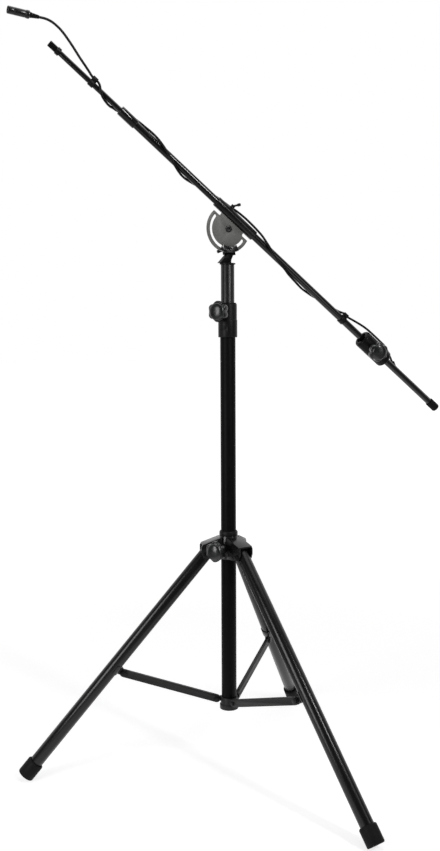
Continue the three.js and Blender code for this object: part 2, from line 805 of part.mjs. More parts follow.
// Swivel neck: a leaning block on the mast cap and an upright plate behind the disc
function neckBody() {
  const base = mastTop + capFlangeHeight + 2 * seatGap;
  const blockTop = base + neckBlockHeight;
  const leaning = slab(polygon([
    [neckBlockFoot - neckFootHalfWidth, base],
    [neckBlockFoot + neckFootHalfWidth, base],
    [neckBlockHead + neckHeadHalfWidth, blockTop],
    [neckBlockHead - neckHeadHalfWidth, blockTop],
  ]), -neckBlockHalfDepth, neckBlockHalfDepth);
  const plateShape = new THREE.Shape();
  plateShape.moveTo(neckBlockHead - neckPlateFootHalfWidth, blockTop - cutOverrun);
  plateShape.lineTo(neckBlockHead + neckPlateFootHalfWidth, blockTop - cutOverrun);
  plateShape.absarc(pivotPlace, pivotHeight, neckPlateHeadRadius, 0, Math.PI, false);
  plateShape.closePath();
  const plate = slab(plateShape, -neckPlateHalf, neckPlateHalf, smallSides / 2);
  const boss = alongY(rod(panBossRadius, 0, panBossEnd, smallSides)).translate(0, 0, base + panScrewHeight);
  const reach = neckPlateHalf + cutOverrun;
  return cut(
    join(rod(neckBaseRadius, base, base + neckBaseHeight), leaning, plate, boss),
    rod(postRadius + runningGap, base - cutOverrun, base - seatGap + postHeight + seatGap, smallSides),
    alongY(rod(panScrewRadius + seatGap, 0, panBossEnd + cutOverrun, pinSides))
      .translate(0, 0, base + panScrewHeight),
    alongY(rod(boltShankRadius + seatGap, -reach, reach, smallSides)).translate(pivotPlace, 0, pivotHeight),
    alongY(rod(clampScrewRadius + seatGap, -reach, reach, pinSides))
      .translate(pivotPlace, 0, pivotHeight - slotRadius),
  );
}

function panScrew() {
  const outline = [];
  const count = 2 * panHeadFlutes;
  for (let i = 0; i < count; i += 1) {
    const turn = (2 * Math.PI * i) / count;
    const radius = panHeadRadius - (i % 2) * panFluteDepth;
    outline.push([radius * Math.cos(turn), radius * Math.sin(turn)]);
  }
  const headTop = panBossEnd + seatGap + panHeadLength;
  const head = new THREE.ExtrudeGeometry(polygon(outline), { depth: panHeadLength, bevelEnabled: false })
    .translate(0, 0, panBossEnd + seatGap);
  const shank = rod(panScrewRadius, postRadius + 2 * seatGap, headTop - seatGap, pinSides);
  const base = mastTop + capFlangeHeight + 2 * seatGap;
  return alongY(join(head, shank)).translate(0, 0, base + panScrewHeight);
}

function pivotBolt() {
  const discBack = cradlePlace + discHalf;
  const body = discHoleRadius - runningGap;
  const lipBack = discFront - seatGap;
  const profile = [
    [0, lipBack - boltLipHeight],
    [discHoleRadius + boltLipOverhang, lipBack - boltLipHeight],
    [discHoleRadius + boltLipOverhang, lipBack],
    [body, lipBack],
    [body, discBack],
    [boltShankRadius, discBack],
    [boltShankRadius, neckPlateHalf + seatGap + nutHeight + seatGap],
    [0, neckPlateHalf + seatGap + nutHeight + seatGap],
  ];
  const front = lipBack - boltLipHeight;
  const socket = rod(boltSocketRadius, front - cutOverrun, front + boltSocketDepth, nutSides);
  return alongY(cut(turned(profile, smallSides), socket)).translate(pivotPlace, 0, pivotHeight);
}

function pivotNut() {
  const from = neckPlateHalf + seatGap;
  const nut = cut(
    rod(nutRadius, from, from + nutHeight, nutSides),
    rod(boltShankRadius + seatGap, from - cutOverrun, from + nutHeight + cutOverrun, smallSides),
  );
  return alongY(nut).translate(pivotPlace, 0, pivotHeight);
}

// The clamp shoe covers the disc's rim on the front side, below the pivot
function clampShoe() {
  const inner = slotRadius - slotHalfWidth + seatGap;
  const shape = new THREE.Shape();
  const down = -Math.PI / 2;
  const sweep = radians(shoeSweep);
  shape.absarc(0, 0, discRadius, down - sweep, down + sweep, false);
  shape.absarc(0, 0, inner, down + sweep, down - sweep, true);
  const front = discFront - seatGap - shoeThickness;
  const shoe = slab(shape, front, discFront - seatGap, smallSides / 4);
  const hole = alongY(rod(clampScrewRadius + seatGap, front - cutOverrun, 0, pinSides))
    .translate(0, 0, -slotRadius);
  return cut(shoe, hole).translate(pivotPlace, 0, pivotHeight);
}

function tiltClampHandle() {
  const from = neckPlateHalf + seatGap;
  const tip = discFront - seatGap - shoeThickness - clampScrewTip;
  const barPlace = from + clampHubLength;
  const bar = alongX(turned(
    edgedProfile(clampBarRadius, 0, -clampBarLength / 2, clampBarLength / 2, clampBarRadius / 3),
    pinSides,
  ));
  return join(
    alongY(rod(clampScrewRadius, tip, barPlace, pinSides)),
    alongY(rod(clampHubRadius, from, barPlace, smallSides)),
    bar.rotateY(radians(-clampBarTurn)).translate(0, barPlace, 0),
  ).translate(pivotPlace, 0, pivotHeight - slotRadius);
}

function headPieces() {
  return [
    pieceOf('swivel_neck', neckBody(), castBlack),
    pieceOf('pan_lock_screw', panScrew(), blackZinc),
    pieceOf('pivot_bolt', pivotBolt(), blackZinc),
    pieceOf('pivot_nut', pivotNut(), blackZinc),
    pieceOf('clamp_shoe', clampShoe(), castBlack),
    pieceOf('tilt_clamp_handle', tiltClampHandle(), plasticBlack),
  ];
}

// The slotted disc in the boom's frame: its flat edge faces the boom, and its neck meets the sleeve
function tiltDisc() {
  const flatTurn = Math.asin(discFlatRise / discRadius);
  const neckTop = boomOffset - sleeveRadius - seatGap;
  const shape = new THREE.Shape();
  shape.absarc(0, 0, discRadius, Math.PI - flatTurn, 2 * Math.PI + flatTurn, false);
  shape.lineTo(discNeckHalfWidth + discNeckFillet, discFlatRise);
  shape.lineTo(discNeckHalfWidth, discFlatRise + discNeckFillet);
  shape.lineTo(discNeckHalfWidth, neckTop);
  shape.lineTo(-discNeckHalfWidth, neckTop);
  shape.lineTo(-discNeckHalfWidth, discFlatRise + discNeckFillet);
  shape.lineTo(-discNeckHalfWidth - discNeckFillet, discFlatRise);
  shape.closePath();
  const slot = new THREE.Path();
  const rise = radians(slotEndRise);
  const start = Math.PI - rise;
  const end = 2 * Math.PI + rise;
  slot.absarc(0, 0, slotRadius + slotHalfWidth, start, end, false);
  const endPlace = [slotRadius * Math.cos(end), slotRadius * Math.sin(end)];
  const startPlace = [slotRadius * Math.cos(start), slotRadius * Math.sin(start)];
  slot.absarc(...endPlace, slotHalfWidth, end, end + Math.PI, false);
  slot.absarc(0, 0, slotRadius - slotHalfWidth, end, start, true);
  slot.absarc(...startPlace, slotHalfWidth, start + Math.PI, start + 2 * Math.PI, false);
  const hole = new THREE.Path();
  hole.absarc(0, 0, discHoleRadius, 0, 2 * Math.PI, false);
  shape.holes.push(slot, hole);
  return geometryOf(solidOf(slab(shape, -discHalf, discHalf, smallSides)));
}

// Places a geometry that is built along +Z at a place and turn about the boom's axis
function aroundBoom(geometry, along, turn) {
  return geometry.rotateX(radians(turn)).translate(along, 0, boomOffset);
}

const onBoomAxis = (geometry) => alongX(geometry).translate(0, 0, boomOffset);

function boomSleeve() {
  const shell = onBoomAxis(turned(edgedProfile(sleeveRadius, 0, sleeveFront, sleeveRear, sleeveChamfer)));
  const boss = aroundBoom(rod(leverBossRadius, 0, leverBossTop, smallSides), leverPlace, leverTurn);
  const screwHole = rod(leverScrewRadius + seatGap, 0, leverBossTop + cutOverrun, pinSides);
  const hole = aroundBoom(screwHole, leverPlace, leverTurn);
  const bore = onBoomAxis(rod(sleeveBore, sleeveFront - cutOverrun, sleeveRear + cutOverrun));
  return cut(join(shell, boss), hole, bore);
}

function sleeveBush() {
  return onBoomAxis(pipe(sleeveBore - seatGap, boomRadius + seatGap, sleeveFront, sleeveRear));
}

function sleeveLever() {
  const hubFrom = leverBossTop + seatGap;
  const hubTo = hubFrom + leverHubLength;
  const armFrom = hubFrom + leverHubLength / 2;
  const arm = rod(leverArmRadius, 0, leverArmLength, pinSides);
  const tipEnd = leverArmLength + leverTipLength;
  const tip = turned(edgedProfile(leverTipRadius, 0, leverArmLength, tipEnd, leverArmRadius / 2), pinSides);
  const lever = join(arm, tip).rotateY(radians(leverArmLean)).translate(0, 0, armFrom);
  return aroundBoom(join(
    rod(leverScrewRadius, sleeveBore, hubTo, pinSides),
    rod(leverHubRadius, hubFrom, hubTo, smallSides),
    lever,
  ), leverPlace, leverTurn);
}

function twistCollar() {
  return onBoomAxis(turned([
    [frontTubeRadius + 2 * seatGap, twistFront],
    [twistRadius - twistChamfer, twistFront],
    [twistRadius, twistFront + twistChamfer],
    [twistRadius, twistRear - twistChamfer],
    [twistRadius - twistChamfer, twistRear],
    [boomRadius + seatGap, twistRear],
    [boomRadius + seatGap, twistFront + twistLip],
    [frontTubeRadius + 2 * seatGap, twistFront + twistLip],
  ]));
}

function frontTube() {
  const rear = frontTubeEnd + frontTubeLength;
  const guide = boomBore - seatGap;
  return onBoomAxis(turned([
    [frontTubeBore, frontTubeEnd],
    [frontTubeRadius, frontTubeEnd],
    [frontTubeRadius, rear - frontGuideLength],
    [guide, rear - frontGuideLength],
    [guide, rear],
    [frontTubeBore, rear],
  ]));
}

function micStud() {
  const face = frontTubeEnd - seatGap;
  const shoulder = face - studShoulderLength;
  const profile = [
    [0, frontTubeEnd + studSpigotLength],
    [frontTubeBore - seatGap, frontTubeEnd + studSpigotLength],
    [frontTubeBore - seatGap, face], [studShoulderRadius, face], [studShoulderRadius, shoulder]];
  const pitch = studLength / studThreads;
  for (let i = 0; i < studThreads; i += 1) {
    const from = shoulder - i * pitch;
    profile.push([studRadius - studThreadDepth, from], [studRadius, from - pitch / 2]);
  }
  profile.push([studRadius - studThreadDepth, shoulder - studLength], [0, shoulder - studLength]);
  return onBoomAxis(turned(profile, smallSides));
}

function endCap() {
  const rear = boomRear + seatGap + endCapFloor;
  const bore = boomRadius + seatGap;
  return onBoomAxis(turned([
    [bore, endCapFront],
    [endCapRadius - endCapEdge / 2, endCapFront],
    [endCapRadius, endCapFront + endCapEdge / 2],
    [endCapRadius, rear - endCapEdge],
    [endCapRadius - endCapEdge, rear],
    [0, rear],
    [0, boomRear + seatGap],
    [bore, boomRear + seatGap],
  ]));
}

function counterweightBody() {
  const rounding = [];
  for (let i = 0; i <= weightEdgeSteps; i += 1) {
    const turn = (Math.PI / 2) * (i / weightEdgeSteps);
    rounding.push([weightEdge * (1 - Math.sin(turn)), weightEdge * (1 - Math.cos(turn))]);
  }
  const front = rounding.map(([a, b]) => [weightRadius - b, weightFront + a]).reverse();
  const rear = rounding.map(([a, b]) => [weightRadius - b, weightRear - a]);
  const body = onBoomAxis(turned([[0, weightFront], ...front, ...rear, [0, weightRear]]));
  const bossRod = rod(weightBossRadius, 0, weightBossEnd, smallSides);
  const boss = aroundBoom(bossRod, weightKnobPlace, weightKnobTurn);
  const studHole = rod(knobStudRadius + seatGap, 0, weightBossEnd + cutOverrun, pinSides);
  const hole = aroundBoom(studHole, weightKnobPlace, weightKnobTurn);
  const bore = onBoomAxis(rod(boomRadius + runningGap, weightFront - cutOverrun, weightRear + cutOverrun));
  const recessEnd = weightFront + weightRecessDepth;
  const recess = onBoomAxis(rod(weightRecessRadius, weightFront - cutOverrun, recessEnd, smallSides));
  return cut(join(body, boss), hole, bore, recess);
}

// A clip round a tube with a loop for the cable on one side
const clipLoopRadius = cableRadius + clipLoopClearance;
const clipLoopPlace = (tubeRadius) => tubeRadius + seatGap + clipWall + clipLoopRadius;

function cableClip(tubeRadius, place) {
  const half = clipLength / 2;
  const inner = tubeRadius + seatGap;
  const ring = rod(inner + clipWall, -half, half, smallSides);
  const loop = rod(clipLoopRadius + clipWall, -half, half, smallSides);
  const body = cut(
    join(ring, loop.translate(clipLoopPlace(tubeRadius), 0, 0)),
    rod(inner, -clipLength, clipLength, smallSides),
    rod(clipLoopRadius, -clipLength, clipLength, smallSides).translate(clipLoopPlace(tubeRadius), 0, 0),
  );
  return aroundBoom(body.rotateY(-Math.PI / 2), place, clipTurn);
}

// A point of the cable's route in the boom's frame
function routePoint([along, turn, distance]) {
  const angle = radians(turn);
  return new THREE.Vector3(along, -distance * Math.sin(angle), boomOffset + distance * Math.cos(angle));
}

const cableRoute = new THREE.CatmullRomCurve3(
  [...leadRoute, ...frontWrapRoute, ...rearWrapRoute].map(routePoint),
  false,
  'centripetal',
);
const routeSpans = cableRoute.points.length - 1;
const frontWrapStart = leadRoute.length;
const rearWrapStart = frontWrapStart + frontWrapRoute.length;
const routeStart = cableRoute.getPoint(0);
const routeEnd = cableRoute.getPoint(1);
const startDirection = cableRoute.getTangent(0).negate();
const endDirection = cableRoute.getTangent(1);

// A stretch of the route between two of its points, with one section at each point
class RouteStretch extends THREE.Curve {
  constructor(from, to) {
    super();
    this.from = from;
    this.to = to;
  }

  share(part) {
    return (this.from + (this.to - this.from) * part) / routeSpans;
  }

  getPointAt(part, target = new THREE.Vector3()) {
    return target.copy(cableRoute.getPoint(this.share(part)));
  }

  getTangentAt(part, target = new THREE.Vector3()) {
    return target.copy(cableRoute.getTangent(this.share(part)));
  }
}

// The stretch that starts at one point of the route and ends just before another
function cableStretch(from, to) {
  const points = cableRoute.points;
  const lastSpan = points[to].distanceTo(points[to - 1]);
  const end = to === routeSpans ? to : to - seatGap / lastSpan;
  const section = new THREE.Shape();
  section.absarc(0, 0, cableRadius, 0, 2 * Math.PI, false);
  return new THREE.ExtrudeGeometry(section, {
    steps: to - from,
    extrudePath: new RouteStretch(from, end),
    bevelEnabled: false,
    curveSegments: cableSides / 2,
  });
}

// Turns a geometry built along +Z to a direction and moves it to a place
function pointed(geometry, place, direction) {
  const turn = new THREE.Quaternion().setFromUnitVectors(new THREE.Vector3(0, 0, 1), direction);
  return geometry.applyQuaternion(turn).translate(place.x, place.y, place.z);
}

function cableGrommet() {
  const collarProfile = edgedProfile(grommetCollarRadius, 0, seatGap, 2 * grommetCollarLength, seatGap);
  const collar = turned(collarProfile, smallSides);
  const shank = rod(grommetShankRadius, seatGap, grommetCollarLength + grommetShankLength, smallSides);
  const tubeSpace = onBoomAxis(rod(boomRadius + seatGap, 0, boomRear));
  const seatedCollar = cut(pointed(collar, routeEnd, endDirection), tubeSpace);
  return join(seatedCollar, pointed(shank, routeEnd, endDirection));
}

function boomTube() {
  const tube = onBoomAxis(pipe(boomRadius, boomBore, boomFront, boomRear));
  const hole = rod(grommetShankRadius + seatGap, 0, grommetCollarLength + grommetShankLength, smallSides);
  return cut(tube, pointed(hole, routeEnd, endDirection));
}

function connectorBoot() {
  const profile = [[0, seatGap], [bootNarrowRadius, seatGap], [bootWideRadius, bootLength], [0, bootLength]];
  return pointed(turned(profile, smallSides), routeStart, startDirection);
}

function cableConnector() {
  const from = bootLength + seatGap;
  const to = from + connectorLength;
  const body = turned([
    [0, from],
    [bootWideRadius + connectorRim, from],
    [connectorRadius, from + connectorRing],
    [connectorRadius, to - connectorRing],
    [connectorRadius + connectorRingStep, to - connectorRing],
    [connectorRadius + connectorRingStep, to],
    [connectorRadius - connectorRim, to],
    [connectorRadius - connectorRim, to - connectorFaceDepth],
    [0, to - connectorFaceDepth],
  ], smallSides);
  return pointed(body, routeStart, startDirection);
}

// Boom with all that it carries, in a frame at the pivot that is tilted to the boom's elevation
function boomPieces() {
  const group = new THREE.Group();
  group.position.set(pivotPlace, cradlePlace, pivotHeight);
  group.rotation.y = radians(boomElevation);
  const pieces = [
    ['tilt_disc', tiltDisc(), plateGrey],
    ['boom_sleeve', boomSleeve(), satinBlack],
    ['sleeve_bush', sleeveBush(), plasticBlack],
    ['sleeve_lock_lever', sleeveLever(), blackZinc],
    ['boom_tube', boomTube(), satinBlack],
    ['boom_end_cap', endCap(), rubberBlack],
    ['front_clutch_collar', twistCollar(), plasticBlack],
    ['front_clutch_bush', onBoomAxis(pipe(
      frontTubeRadius + seatGap + colletWall,
      frontTubeRadius + seatGap,
      twistFront + twistLip + seatGap,
      boomFront - seatGap,
    )), plasticBlack],
    ['front_tube', frontTube(), satinBlack],
    ['mic_thread_stud', micStud(), blackZinc],
    ['counterweight_body', counterweightBody(), castBlack],
    ['cable_clip_front', cableClip(frontTubeRadius, frontClipPlace), plasticBlack],
    ['cable_clip_rear', cableClip(boomRadius, rearClipPlace), plasticBlack],
    ['cable_lead', cableStretch(0, frontWrapStart), rubberBlack],
    ['cable_front_wrap', cableStretch(frontWrapStart, rearWrapStart), rubberBlack],
    ['cable_rear_wrap', cableStretch(rearWrapStart, routeSpans), rubberBlack],
    ['cable_grommet', cableGrommet(), rubberBlack],
    ['connector_boot', connectorBoot(), rubberBlack],
    ['cable_connector', cableConnector(), castBlack],
  ];
  pieces.forEach(([name, geometry, material]) => group.add(pieceOf(name, geometry, material)));
  const knobHolder = new THREE.Group();
  knobHolder.position.set(weightKnobPlace, 0, boomOffset);
  knobHolder.rotation.x = radians(weightKnobTurn);
  const studReach = weightBossEnd - boomRadius - 2 * runningGap;
  const knob = pieceOf('counterweight_knob', starKnob(studReach), plasticBlack);
  knob.position.z = weightBossEnd;
  knobHolder.add(knob);
  group.add(knobHolder);
  return group;
}

const stand = new THREE.Group();
stand.add(...columnPieces(), ...mastPieces(), ...headPieces(), tripodPieces(), boomPieces());
stand.add(radialKnob('mast_lock_knob', clutchKnobBearing, clutchKnobHeight, clutchBossEnd,
  clutchBushRadius() + seatGap));
stand.add(radialKnob('hub_lock_knob', hubKnobBearing, hubKnobHeight, hubBossEnd,
  columnRadius + seatGap + hubBushWall + seatGap));

// The origin is the middle of the base of the box round all but the cable and what is on it
const cablePieces = [
  'cable_lead', 'cable_front_wrap', 'cable_rear_wrap',
  'cable_grommet', 'connector_boot', 'cable_connector',
];
stand.updateMatrixWorld(true);
const box = new THREE.Box3();
stand.traverse((node) => {
  if (node.isMesh && !cablePieces.includes(node.name)) box.expandByObject(node, true);
});
const part = new THREE.Group();
stand.position.set(-(box.min.x + box.max.x) / 2, -(box.min.y + box.max.y) / 2, -box.min.z);
part.add(stand);

export default part;
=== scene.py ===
"""Dressed scene of an overhead boom arm on a folding floor stand."""

import logging
import math
from dataclasses import dataclass
from enum import Enum
from typing import Optional, Sequence

import bmesh
import bpy
from mathutils import Matrix, Vector

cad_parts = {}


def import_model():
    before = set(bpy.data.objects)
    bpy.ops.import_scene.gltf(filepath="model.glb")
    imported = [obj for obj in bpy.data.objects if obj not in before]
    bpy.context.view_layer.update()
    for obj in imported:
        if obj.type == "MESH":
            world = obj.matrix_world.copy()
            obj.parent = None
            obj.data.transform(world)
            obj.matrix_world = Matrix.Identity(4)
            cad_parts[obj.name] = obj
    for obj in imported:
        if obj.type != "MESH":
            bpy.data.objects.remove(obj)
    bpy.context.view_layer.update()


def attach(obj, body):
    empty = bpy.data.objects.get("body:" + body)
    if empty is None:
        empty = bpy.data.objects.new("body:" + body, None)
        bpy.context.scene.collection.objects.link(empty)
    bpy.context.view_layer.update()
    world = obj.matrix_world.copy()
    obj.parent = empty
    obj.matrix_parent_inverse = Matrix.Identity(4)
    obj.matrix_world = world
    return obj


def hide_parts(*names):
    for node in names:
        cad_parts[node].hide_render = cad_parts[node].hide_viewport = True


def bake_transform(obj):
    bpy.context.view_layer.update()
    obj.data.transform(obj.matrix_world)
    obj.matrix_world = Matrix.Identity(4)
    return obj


log = logging.getLogger("boom_arm")

Piece = bpy.types.Object
Tree = bpy.types.NodeTree
Socket = bpy.types.NodeSocket
Pair = tuple[float, float]
Triple = tuple[float, float, float]

# The column's foot in the shared frame, and the tilt pivot from there, in metres
FRAME_SHIFT = Vector((-0.0710461, 0.0840924, 0.0))
TILT_PIVOT = Vector((-0.002, -0.0088, 1.441))
# How the boom rises towards its front, and how far its axis lies over the pivot, in metres
BOOM_RISE = math.radians(38.2)
BOOM_OFFSET = 0.0338
LEG_SIDES = ("left", "right", "rear")
PER_METRE = 1000


class Slot(Enum):
    """Material slots of the record."""

    TUBE = "satin_tube"
    CASTING = "cast_fitting"
    MOULDED = "moulded_black"
    KNOB = "knob_black"
    PLATE = "plate_grey"
    WEIGHT = "weight_iron"
    FASTENER = "black_zinc"
    RUBBER = "rubber_black"
    CABLE = "cable_jacket"


def bearing(degrees: float) -> Vector:
    """Unit direction away from the column at a bearing."""
    angle = math.radians(degrees)
    return Vector((math.sin(angle), -math.cos(angle), 0.0))


def beside_column(degrees: float, reach: float, height: float) -> Vector:
    """A point at a bearing, a reach from the column and a height over the floor, in metres."""
    return bearing(degrees) * reach + Vector((0, 0, height)) + FRAME_SHIFT


def boom_point(place: float, turn: float, radius: float) -> Vector:
    """A point beside the boom.

    Args:
        place: Millimetres along the boom from the tilt pivot, towards the rear.
        turn: Degrees round the boom's axis.
        radius: Millimetres out from the boom's axis.

    Returns:
        The point in the shared frame, in metres.
    """
    angle = math.radians(turn)
    local = Vector((place, -radius * math.sin(angle), radius * math.cos(angle))) / PER_METRE
    local.z += BOOM_OFFSET
    return Matrix.Rotation(BOOM_RISE, 3, "Y") @ local + TILT_PIVOT + FRAME_SHIFT


def round_boom(turn: float) -> Vector:
    """Unit direction away from the boom's axis at a turn, in degrees."""
    return (boom_point(0, turn, 1) - boom_point(0, turn, 0)).normalized()


def wire(node: bpy.types.Node, **inputs: object) -> bpy.types.Node:
    """Sets or feeds some inputs of a shader node.

    Args:
        node: The node.
        inputs: Each input's value, or the socket that feeds it, under its name with _ for a space.

    Returns:
        The node.
    """
    for name, value in inputs.items():
        socket = node.inputs[name.replace("_", " ")]
        if isinstance(value, Socket):
            node.id_data.links.new(value, socket)
        else:
            socket.default_value = value
    return node


def ray_share(tree: Tree, *kinds: str) -> Socket:
    """A value that is 1 for rays of some kinds, and 0 for all others.

    Args:
        tree: The node tree.
        kinds: Outputs of the light path.

    Returns:
        The value socket.
    """
    light = tree.nodes.new("ShaderNodeLightPath")
    share = light.outputs[kinds[0]]
    for kind in kinds[1:]:
        share = combine("MAXIMUM", share, light.outputs[kind])
    return share


def ramp(value: Socket, start: Pair, end: Pair) -> Socket:
    """A soft change between two levels.

    Args:
        value: What it follows.
        start: Value and level where the change starts.
        end: Value and level where it ends.

    Returns:
        The level's socket.
    """
    change = value.id_data.nodes.new("ShaderNodeMapRange")
    change.interpolation_type = "SMOOTHSTEP"
    wire(change, Value=value, From_Min=start[0], From_Max=end[0], To_Min=start[1], To_Max=end[1])
    return change.outputs["Result"]


def combine(operation: str, first: Socket, second: Socket) -> Socket:
    """Joins two values.

    Args:
        operation: The math node's operation.
        first: One value.
        second: The other.

    Returns:
        The result's socket.
    """
    tree = first.id_data
    joint = tree.nodes.new("ShaderNodeMath")
    joint.operation = operation
    tree.links.new(first, joint.inputs[0])
    tree.links.new(second, joint.inputs[1])
    return joint.outputs[0]


@dataclass(frozen=True)
class Finish:
    """A surface finish whose grain and gloss are made from noise on the piece's own place.

    Args:
        name: The material's name.
        colour: Linear base colour.
        roughness: Mean roughness.
        metallic: 0 for plastics and paint, 1 for bare metal.
        specular: Specular level.
        grain: Size of the fine grain, in metres.
        depth: Height of the grain, in metres.
        mottle: Share by which the colour varies in soft patches.
        gloss_spread: How far roughness varies.
        grain_detail: Finer layers in the grain.
        relief: Strength of the grain's bump.
        patch_scale: Soft patches in a metre.
        patch_detail: Finer layers in the patches.
        patch_span: Noise levels between which a patch changes.
        least_roughness: The lowest roughness that the gloss reaches.
    """

    name: str
    colour: Triple
    roughness: float
    metallic: float = 0.0
    specular: float = 0.4
    grain: float = 0.0012
    depth: float = 2e-5
    mottle: float = 0.15
    gloss_spread: float = 0.06
    grain_detail: float = 3
    relief: float = 0.6
    patch_scale: float = 28
    patch_detail: float = 4
    patch_span: Pair = (0.3, 0.7)
    least_roughness: float = 0.02

    def grain_height(self, tree: Tree, where: Socket) -> Socket:
        """Height of the surface's fine relief.

        Args:
            tree: The material's nodes.
            where: Object coordinates.

        Returns:
            A value socket from 0 to 1.
        """
        noise = tree.nodes.new("ShaderNodeTexNoise")
        wire(noise, Vector=where, Scale=1 / self.grain, Detail=self.grain_detail)
        return noise.outputs["Fac"]

    def build(self) -> bpy.types.Material:
        """Makes the material, or gives the one already made.

        Returns:
            The material.
        """
        if self.name in bpy.data.materials:
            return bpy.data.materials[self.name]
        material = bpy.data.materials.new(self.name)
        material.use_nodes = True
        tree = material.node_tree
        where = tree.nodes.new("ShaderNodeTexCoord").outputs["Object"]
        patches = wire(tree.nodes.new("ShaderNodeTexNoise"), Vector=where,
                       Scale=self.patch_scale, Detail=self.patch_detail).outputs["Fac"]
        tint = wire(tree.nodes.new("ShaderNodeValToRGB"), Fac=patches)
        for stop, level, shade in zip(tint.color_ramp.elements, self.patch_span,
                                      (1 - self.mottle, 1 + self.mottle)):
            stop.position = level
            stop.color = (*(min(1, c * shade) for c in self.colour), 1)
        gloss = wire(tree.nodes.new("ShaderNodeMapRange"), Value=patches,
                     From_Min=self.patch_span[0], From_Max=self.patch_span[1],
                     To_Min=max(self.least_roughness, self.roughness - self.gloss_spread),
                     To_Max=self.roughness + self.gloss_spread)
        bump = wire(tree.nodes.new("ShaderNodeBump"), Height=self.grain_height(tree, where),
                    Strength=self.relief, Distance=self.depth)
        wire(tree.nodes["Principled BSDF"], Metallic=self.metallic,
             Specular_IOR_Level=self.specular, Base_Color=tint.outputs["Color"],
             Roughness=gloss.outputs["Result"], Normal=bump.outputs["Normal"])
        return material


@dataclass(frozen=True)
class PlateFinish(Finish):
    """Enamel over a plate that was brushed before it was coated."""

    grain_detail: float = 4
    stroke: Triple = (0.06, 1, 1)

    def grain_height(self, tree: Tree, where: Socket) -> Socket:
        """Height of long fine strokes along the plate, from 0 to 1."""
        stretch = wire(tree.nodes.new("ShaderNodeMapping"), Vector=where, Scale=self.stroke)
        return super().grain_height(tree, stretch.outputs["Vector"])


@dataclass(frozen=True)
class SpangleFinish(Finish):
    """Dark zinc plate with its small crystals."""

    def grain_height(self, tree: Tree, where: Socket) -> Socket:
        """Distance from the middle of each cell of the plated layer, from 0 to 1."""
        cells = tree.nodes.new("ShaderNodeTexVoronoi")
        return wire(cells, Vector=where, Scale=1 / self.grain).outputs["Distance"]


POWDER_COAT = Finish("black_powder_coat", (0.0036, 0.0036, 0.0038), 0.25, specular=0.36,
                     depth=1.2e-6, gloss_spread=0.03)
SATIN_COAT = Finish("satin_black_coat", (0.0038, 0.0038, 0.004), 0.36, depth=1.2e-6,
                    gloss_spread=0.03)
GLOSS_COAT = Finish("glossy_black_coat", (0.0038, 0.0038, 0.004), 0.12, specular=0.5,
                    depth=8e-7, gloss_spread=0.02)
MATT_COAT = Finish("matt_black_coat", (0.0034, 0.0034, 0.0035), 0.45, specular=0.06,
                   grain=0.0009, depth=3e-6, gloss_spread=0.05)
GREY_COAT = Finish("grey_black_coat", (0.019, 0.019, 0.0185), 0.45, specular=0.25,
                   grain=0.0009, depth=2e-6, gloss_spread=0.05)
CAST_ENAMEL = Finish("enamel_on_castings", (0.005, 0.0051, 0.0053), 0.24, specular=0.42,
                     grain=0.0018, depth=7e-6)
MOULDED_NYLON = Finish("grained_black_nylon", (0.006, 0.0061, 0.0062), 0.42, specular=0.16,
                       grain=0.0008, depth=3e-6)
POLISHED_MOULDING = Finish("polished_black_moulding", (0.007, 0.0076, 0.0082), 0.25,
                           specular=0.56, grain=0.003, depth=1.2e-6, gloss_spread=0.03)
GREY_PLATE = PlateFinish("brushed_grey_enamel", (0.131, 0.131, 0.126), 0.46, specular=0.3,
                         grain=0.0006, depth=5e-7, mottle=0.06)
WEIGHT_ENAMEL = Finish("enamelled_iron", (0.004, 0.0042, 0.004), 0.36, specular=0.12,
                       grain=0.002, depth=9e-6, gloss_spread=0.08)
DARK_ZINC = SpangleFinish("dark_zinc_plate", (0.009, 0.009, 0.0095), 0.38, metallic=0.4,
                          specular=0.3, grain=0.0011, depth=5e-7, mottle=0.2,
                          gloss_spread=0.05)
SOFT_RUBBER = Finish("matt_black_rubber", (0.0062, 0.0062, 0.0062), 0.62, specular=0.12,
                     grain=0.0009, depth=6e-6, gloss_spread=0.08)
CABLE_JACKET = Finish("soft_cable_jacket", (0.0045, 0.0045, 0.0047), 0.42, specular=0.18,
                      grain=0.0015, depth=5e-6)

FINISHES = {
    Slot.TUBE: POWDER_COAT, Slot.CASTING: CAST_ENAMEL, Slot.MOULDED: MOULDED_NYLON,
    Slot.KNOB: POLISHED_MOULDING, Slot.PLATE: GREY_PLATE, Slot.WEIGHT: WEIGHT_ENAMEL,
    Slot.FASTENER: DARK_ZINC, Slot.RUBBER: SOFT_RUBBER, Slot.CABLE: CABLE_JACKET,
}

# Nodes whose coat differs from that of the others in their slot
SPECIAL_COATS = {
    "column_tube": MATT_COAT, "swivel_neck": MATT_COAT, "mast_tube": SATIN_COAT,
    "bottom_collar": GREY_COAT, **{f"brace_{side}": GREY_COAT for side in LEG_SIDES},
    "boom_tube": GLOSS_COAT, "front_tube": GLOSS_COAT, "front_clutch_collar": GLOSS_COAT,
}


